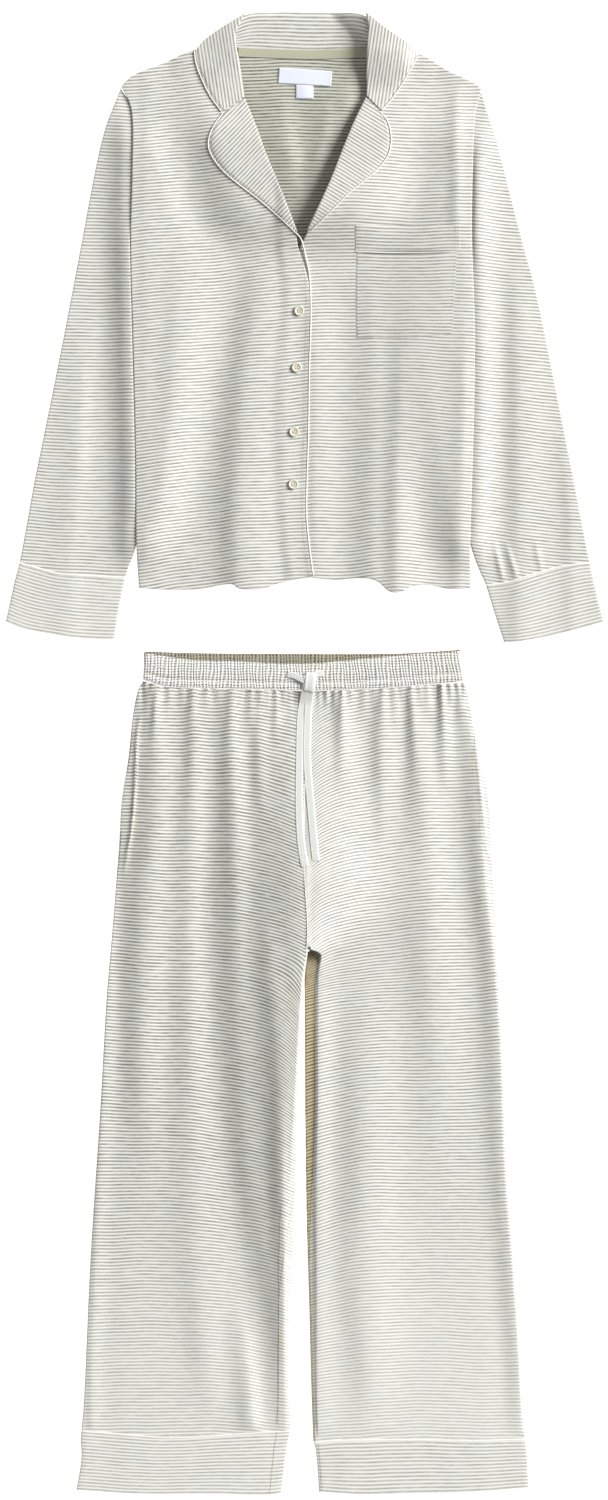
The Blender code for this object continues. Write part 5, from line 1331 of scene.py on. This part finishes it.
def waist_half(name, top, above, columns, rows, finish):
    """Half of the flattened elastic ring, front or back, with gathers of uneven width and height."""
    seam = [(x, y + GAP) for x, y in WAIST_SEAM]
    patch = make_patch([seam[0], WAIST_SIDE_RIGHT[1], top[0]], [seam[-1], WAIST_SIDE_LEFT[1], top[-1]], seam, top)
    a, b = grid(columns, rows)
    width = row_width(patch, b)
    arc_top = width - 2 * WAIST_HALF + math.pi * WAIST_HALF
    p = GAP / 2 + (arc_top - GAP) * a
    puffed = np.interp(b, *np.array(WAIST_PUFF).T)
    wander = 0.30 * np.sin(a * 37 + 1.1 * b) + 0.14 * np.sin(a * 173 + 4 * b + 1.3) + 0.10 * np.sin(7 * b + a * 29)
    crest = np.cos(2 * math.pi * (GATHERS * a + wander))
    depth = 0.75 + 0.25 * np.sin(a * 233 + 3 * b)
    pinch = 0.55 + 0.45 * smooth((puffed + 0.7) / 0.8)
    skins = []
    for inset in (0.0, ELASTIC):
        across_at, z = section(p, width, WAIST_HALF, inset, 1.0)
        level = smooth((z - WAIST_HALF) / 1.0)
        fold = GATHER_HEIGHT * crest * depth * pinch * level * (1.0 if inset == 0 else 0.4)
        if above:
            z = z + fold + puffed * level
        else:
            z = 2 * WAIST_HALF - z + (fold if inset else 0.0)
        skins.append(np.concatenate([patch(across_at / width, b), np.maximum(z, 0.0)[..., None]], axis=-1))
    x, y = skins[0][..., 0], skins[0][..., 1]
    uv = np.stack([(GATHERS * a + wander) * GATHER_PITCH, (y + 0.4 * np.sin(a * 90)) * MM], axis=-1)
    return shell(name + "_cloth", *skins, uv, finish, "striped_jersey")


for name, top, above, columns, rows, finish in (
        ("waistband_front", WAIST_TOP_FRONT, True, 870, 22, gathered_shaded_jersey),
        ("waistband_back", WAIST_TOP_BACK, False, 696, 8, waist_inside_shaded_jersey)):
    band = waist_half(name, top, above, columns, rows, finish)
    cloth_for(name, band)

# ---------------------------------------------------------------- drawstring
# A flat woven cotton tape with raised rims. It comes out of the band on both sides of the middle,
# crosses in a half knot, and its two ends hang down the centre seam with their ends turned and sewn.
STRING_WIDTH, STRING_SHOWN, STRING_THICK = 8.4, 9.2, 0.8
STRING_RIGHT = [  # right free end: (x, y, height over the trousers)
    (2, 82, 1.2), (0.5, 74, 0.8), (-2, 62, 0.3), (-4.4, 48, 0.0), (-5.4, 34, 0.0), (-6.0, 14, 0.0), (-6.5, -14, 0.0),
    (-6.9, -40, 0.0), (-6.9, -65, 0.0), (-6.0, -88, 0.0), (-4.6, -106, 0.0), (-2.2, -124, 0.0), (0, -135, 0.0)]
STRING_LEFT = [
    (8.5, 84, 1.4), (7, 76, 1.0), (5.2, 64, 0.5), (3.8, 48, 0.2), (3.2, 30, 0.0), (2.6, 10, 0.0), (2.9, -14, 0.0),
    (4.8, -38, 0.0), (7.2, -65, 0.0), (9.4, -92, 0.0), (11.4, -112, 0.0), (13.2, -129, 0.0)]
STRING_RUNS = [  # the short runs between the eyelets and the knot
    [(-21, 94.5, -0.2), (-14, 93, 0.2), (-7, 90, 0.6), (-1, 86.5, 1.0), (5, 82, 1.1)],
    [(22, 95.5, -0.2), (17, 95, 0.2), (11, 94, 0.6), (5, 92, 1.2), (-1, 89, 1.2)]]
KNOT_TURN = [(8, 96.5, 0.4), (7.6, 93, 1.4), (7, 88, 2.0), (6.2, 82, 2.0), (5.4, 76, 1.2), (5, 74, 0.6)]
RUN_WIDTH, KNOT_WIDTH = 7.0, 13.0  # the tape is pinched in the runs and spread in the knot
HEM_LONG = 11.0  # length of the turned end
STRING_SUNK, STRING_CROSSES = 0.35, 0.4  # it sinks into the cloth, and the left end lies over the right


def trouser_top(x, y):
    """Height of the trousers' upper side near their centre front."""
    band = 2 * WAIST_HALF + 1.2
    leg = 2 * TUBE_HALF + leg_rise(x, y)
    return leg + (band - leg) * ramp(y, 66, 74)


def ribbon(name, route, width=STRING_SHOWN, hem=0.0):
    """A flat tape along a route, with thicker rims and a turned end of length hem."""
    side, up = beside_route(route, 0.5)
    turn = np.linspace(0, 2 * math.pi, 20, endpoint=False)
    run = np.concatenate([[0], np.cumsum(np.linalg.norm(np.diff(route, axis=0), axis=1))])
    thick = STRING_THICK / 2 * (1 + 0.5 * ((run > run[-1] - hem) & (hem > 0)))
    across = np.sign(np.cos(turn)) * np.abs(np.cos(turn)) ** 0.7 * width / 2
    high = np.sin(turn) * (0.75 + 0.5 * np.abs(np.cos(turn)) ** 3)
    mesh = swept(name, route[:, None] + side[:, None] * across[None, :, None]
                 + up[:, None] * (high[None, :] * thick[:, None])[..., None])
    layer = mesh.uv_layers.new(name="cloth")
    for loop, corner in zip(mesh.loops, layer.data):
        row, place = divmod(loop.vertex_index, len(turn))
        corner.uv = (run[row] * MM, across[place] * MM)
    return mesh


string_weave = weave_finish("string_weave", (0.80, 0.81, 0.78, 1), (0.60, 0.61, 0.57, 1), angle=0.6, pitch=0.0010,
                            roughness=0.85, rims=0.0034)
bm = bmesh.new()
for number, (route, width) in enumerate(((STRING_RUNS[0], RUN_WIDTH), (STRING_RUNS[1], RUN_WIDTH),
                                          (KNOT_TURN, KNOT_WIDTH))):
    points = along(edge(route), np.linspace(0, 1, 24))
    z = trouser_top(points[:, 0], np.maximum(points[:, 1], 84)) + STRING_THICK / 2 + points[:, 2]
    bm.from_mesh(ribbon(f"knot_part_{number}", np.column_stack([points[:, :2], z]), width))
knot_mesh = bpy.data.meshes.new("drawstring_knot_tape")
bm.to_mesh(knot_mesh)
bm.free()
knot = add_piece("drawstring_knot_tape", knot_mesh, string_weave, 60)
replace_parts(knot, "drawstring_knot")
for side, route, extra in (("right", STRING_RIGHT, 0.0), ("left", STRING_LEFT, STRING_CROSSES)):
    points = along(edge(route), np.linspace(0, 1, 90))
    z = np.pad(trouser_top(points[:, 0], points[:, 1]), 4, mode="edge")
    z = np.convolve(z, np.ones(9) / 9, mode="valid") + points[:, 2] + STRING_SUNK * STRING_THICK + extra
    path = np.column_stack([points[:, :2], z])
    name = f"drawstring_{side}_tape"
    tape = add_piece(name, ribbon(name, path, hem=HEM_LONG), string_weave, 60)
    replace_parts(tape, f"drawstring_{side}")

# ---------------------------------------------------------------- stitching of the trousers
# Rows hold the elastic in the waistband and edge the pocket mouths, and rows of near-black thread follow
# the inseams down to the hems as painted shadow of the seams.
# One short row closes each turned end of the drawstring.


def band_row(share):
    """A row along the waistband, at a share of the way up it, and its height."""
    seam, top = edge(WAIST_SEAM), edge(WAIST_TOP_FRONT)
    t = np.linspace(0.02, 0.98, 60)
    points = along(seam, t) * (1 - share) + along(top, t) * share
    level = 2 * WAIST_HALF + np.interp(share, *np.array(WAIST_PUFF).T)
    return points.tolist(), lambda x, y: np.full(np.shape(x), level)


BAND_SHARES = (0.05, 0.27, 0.6, 0.94)
MOUTH_ROWS = [[(-197, 30), (-202, -71), (-211, -133)], [(203, 20), (212, -80), (218, -128)]]
INSEAM_ROWS = [[(-29, -540), (-31, -600), (-32, -776), (-34, -803)],
               [(12, -540), (13, -640), (14, -776), (15.5, -818)]]
HEM_ROWS = [[(-34, -816), (-37, -835), (-42, -886)], [(16, -830), (17.5, -845), (20, -884)]]
STRING_ROWS = [[(-7.4, -119), (-3, -121), (1.4, -123)], [(7, -116), (11.6, -118), (15.8, -120)]]
on_leg, on_hem = raised(2 * TUBE_HALF, leg_rise), raised(2 * TUBE_HALF, band_puff)
on_string = raised(trouser_top, 1.2 * STRING_THICK)
# Painted shadow: the inseams' dark line is thread this dark.
inseam_shadow_thread = cream_finish("inseam_shadow_thread", (0.27, 0.25, 0.19, 1), 0.9)
sew("waistband_stitches", [band_row(share) for share in BAND_SHARES], cream_piping,
    Spacing=0.0039, Length=0.0024, Thread=0.0004)
sew("mouth_stitches", [(row, on_leg) for row in MOUTH_ROWS])
sew("inseam_shadow_stitches", [row for leg, hem in zip(INSEAM_ROWS, HEM_ROWS) for row in ((leg, on_leg), (hem, on_hem))],
    inseam_shadow_thread, Length=0.0031)
sew("drawstring_stitches", [(row, on_string) for row in STRING_ROWS], thread_finish)
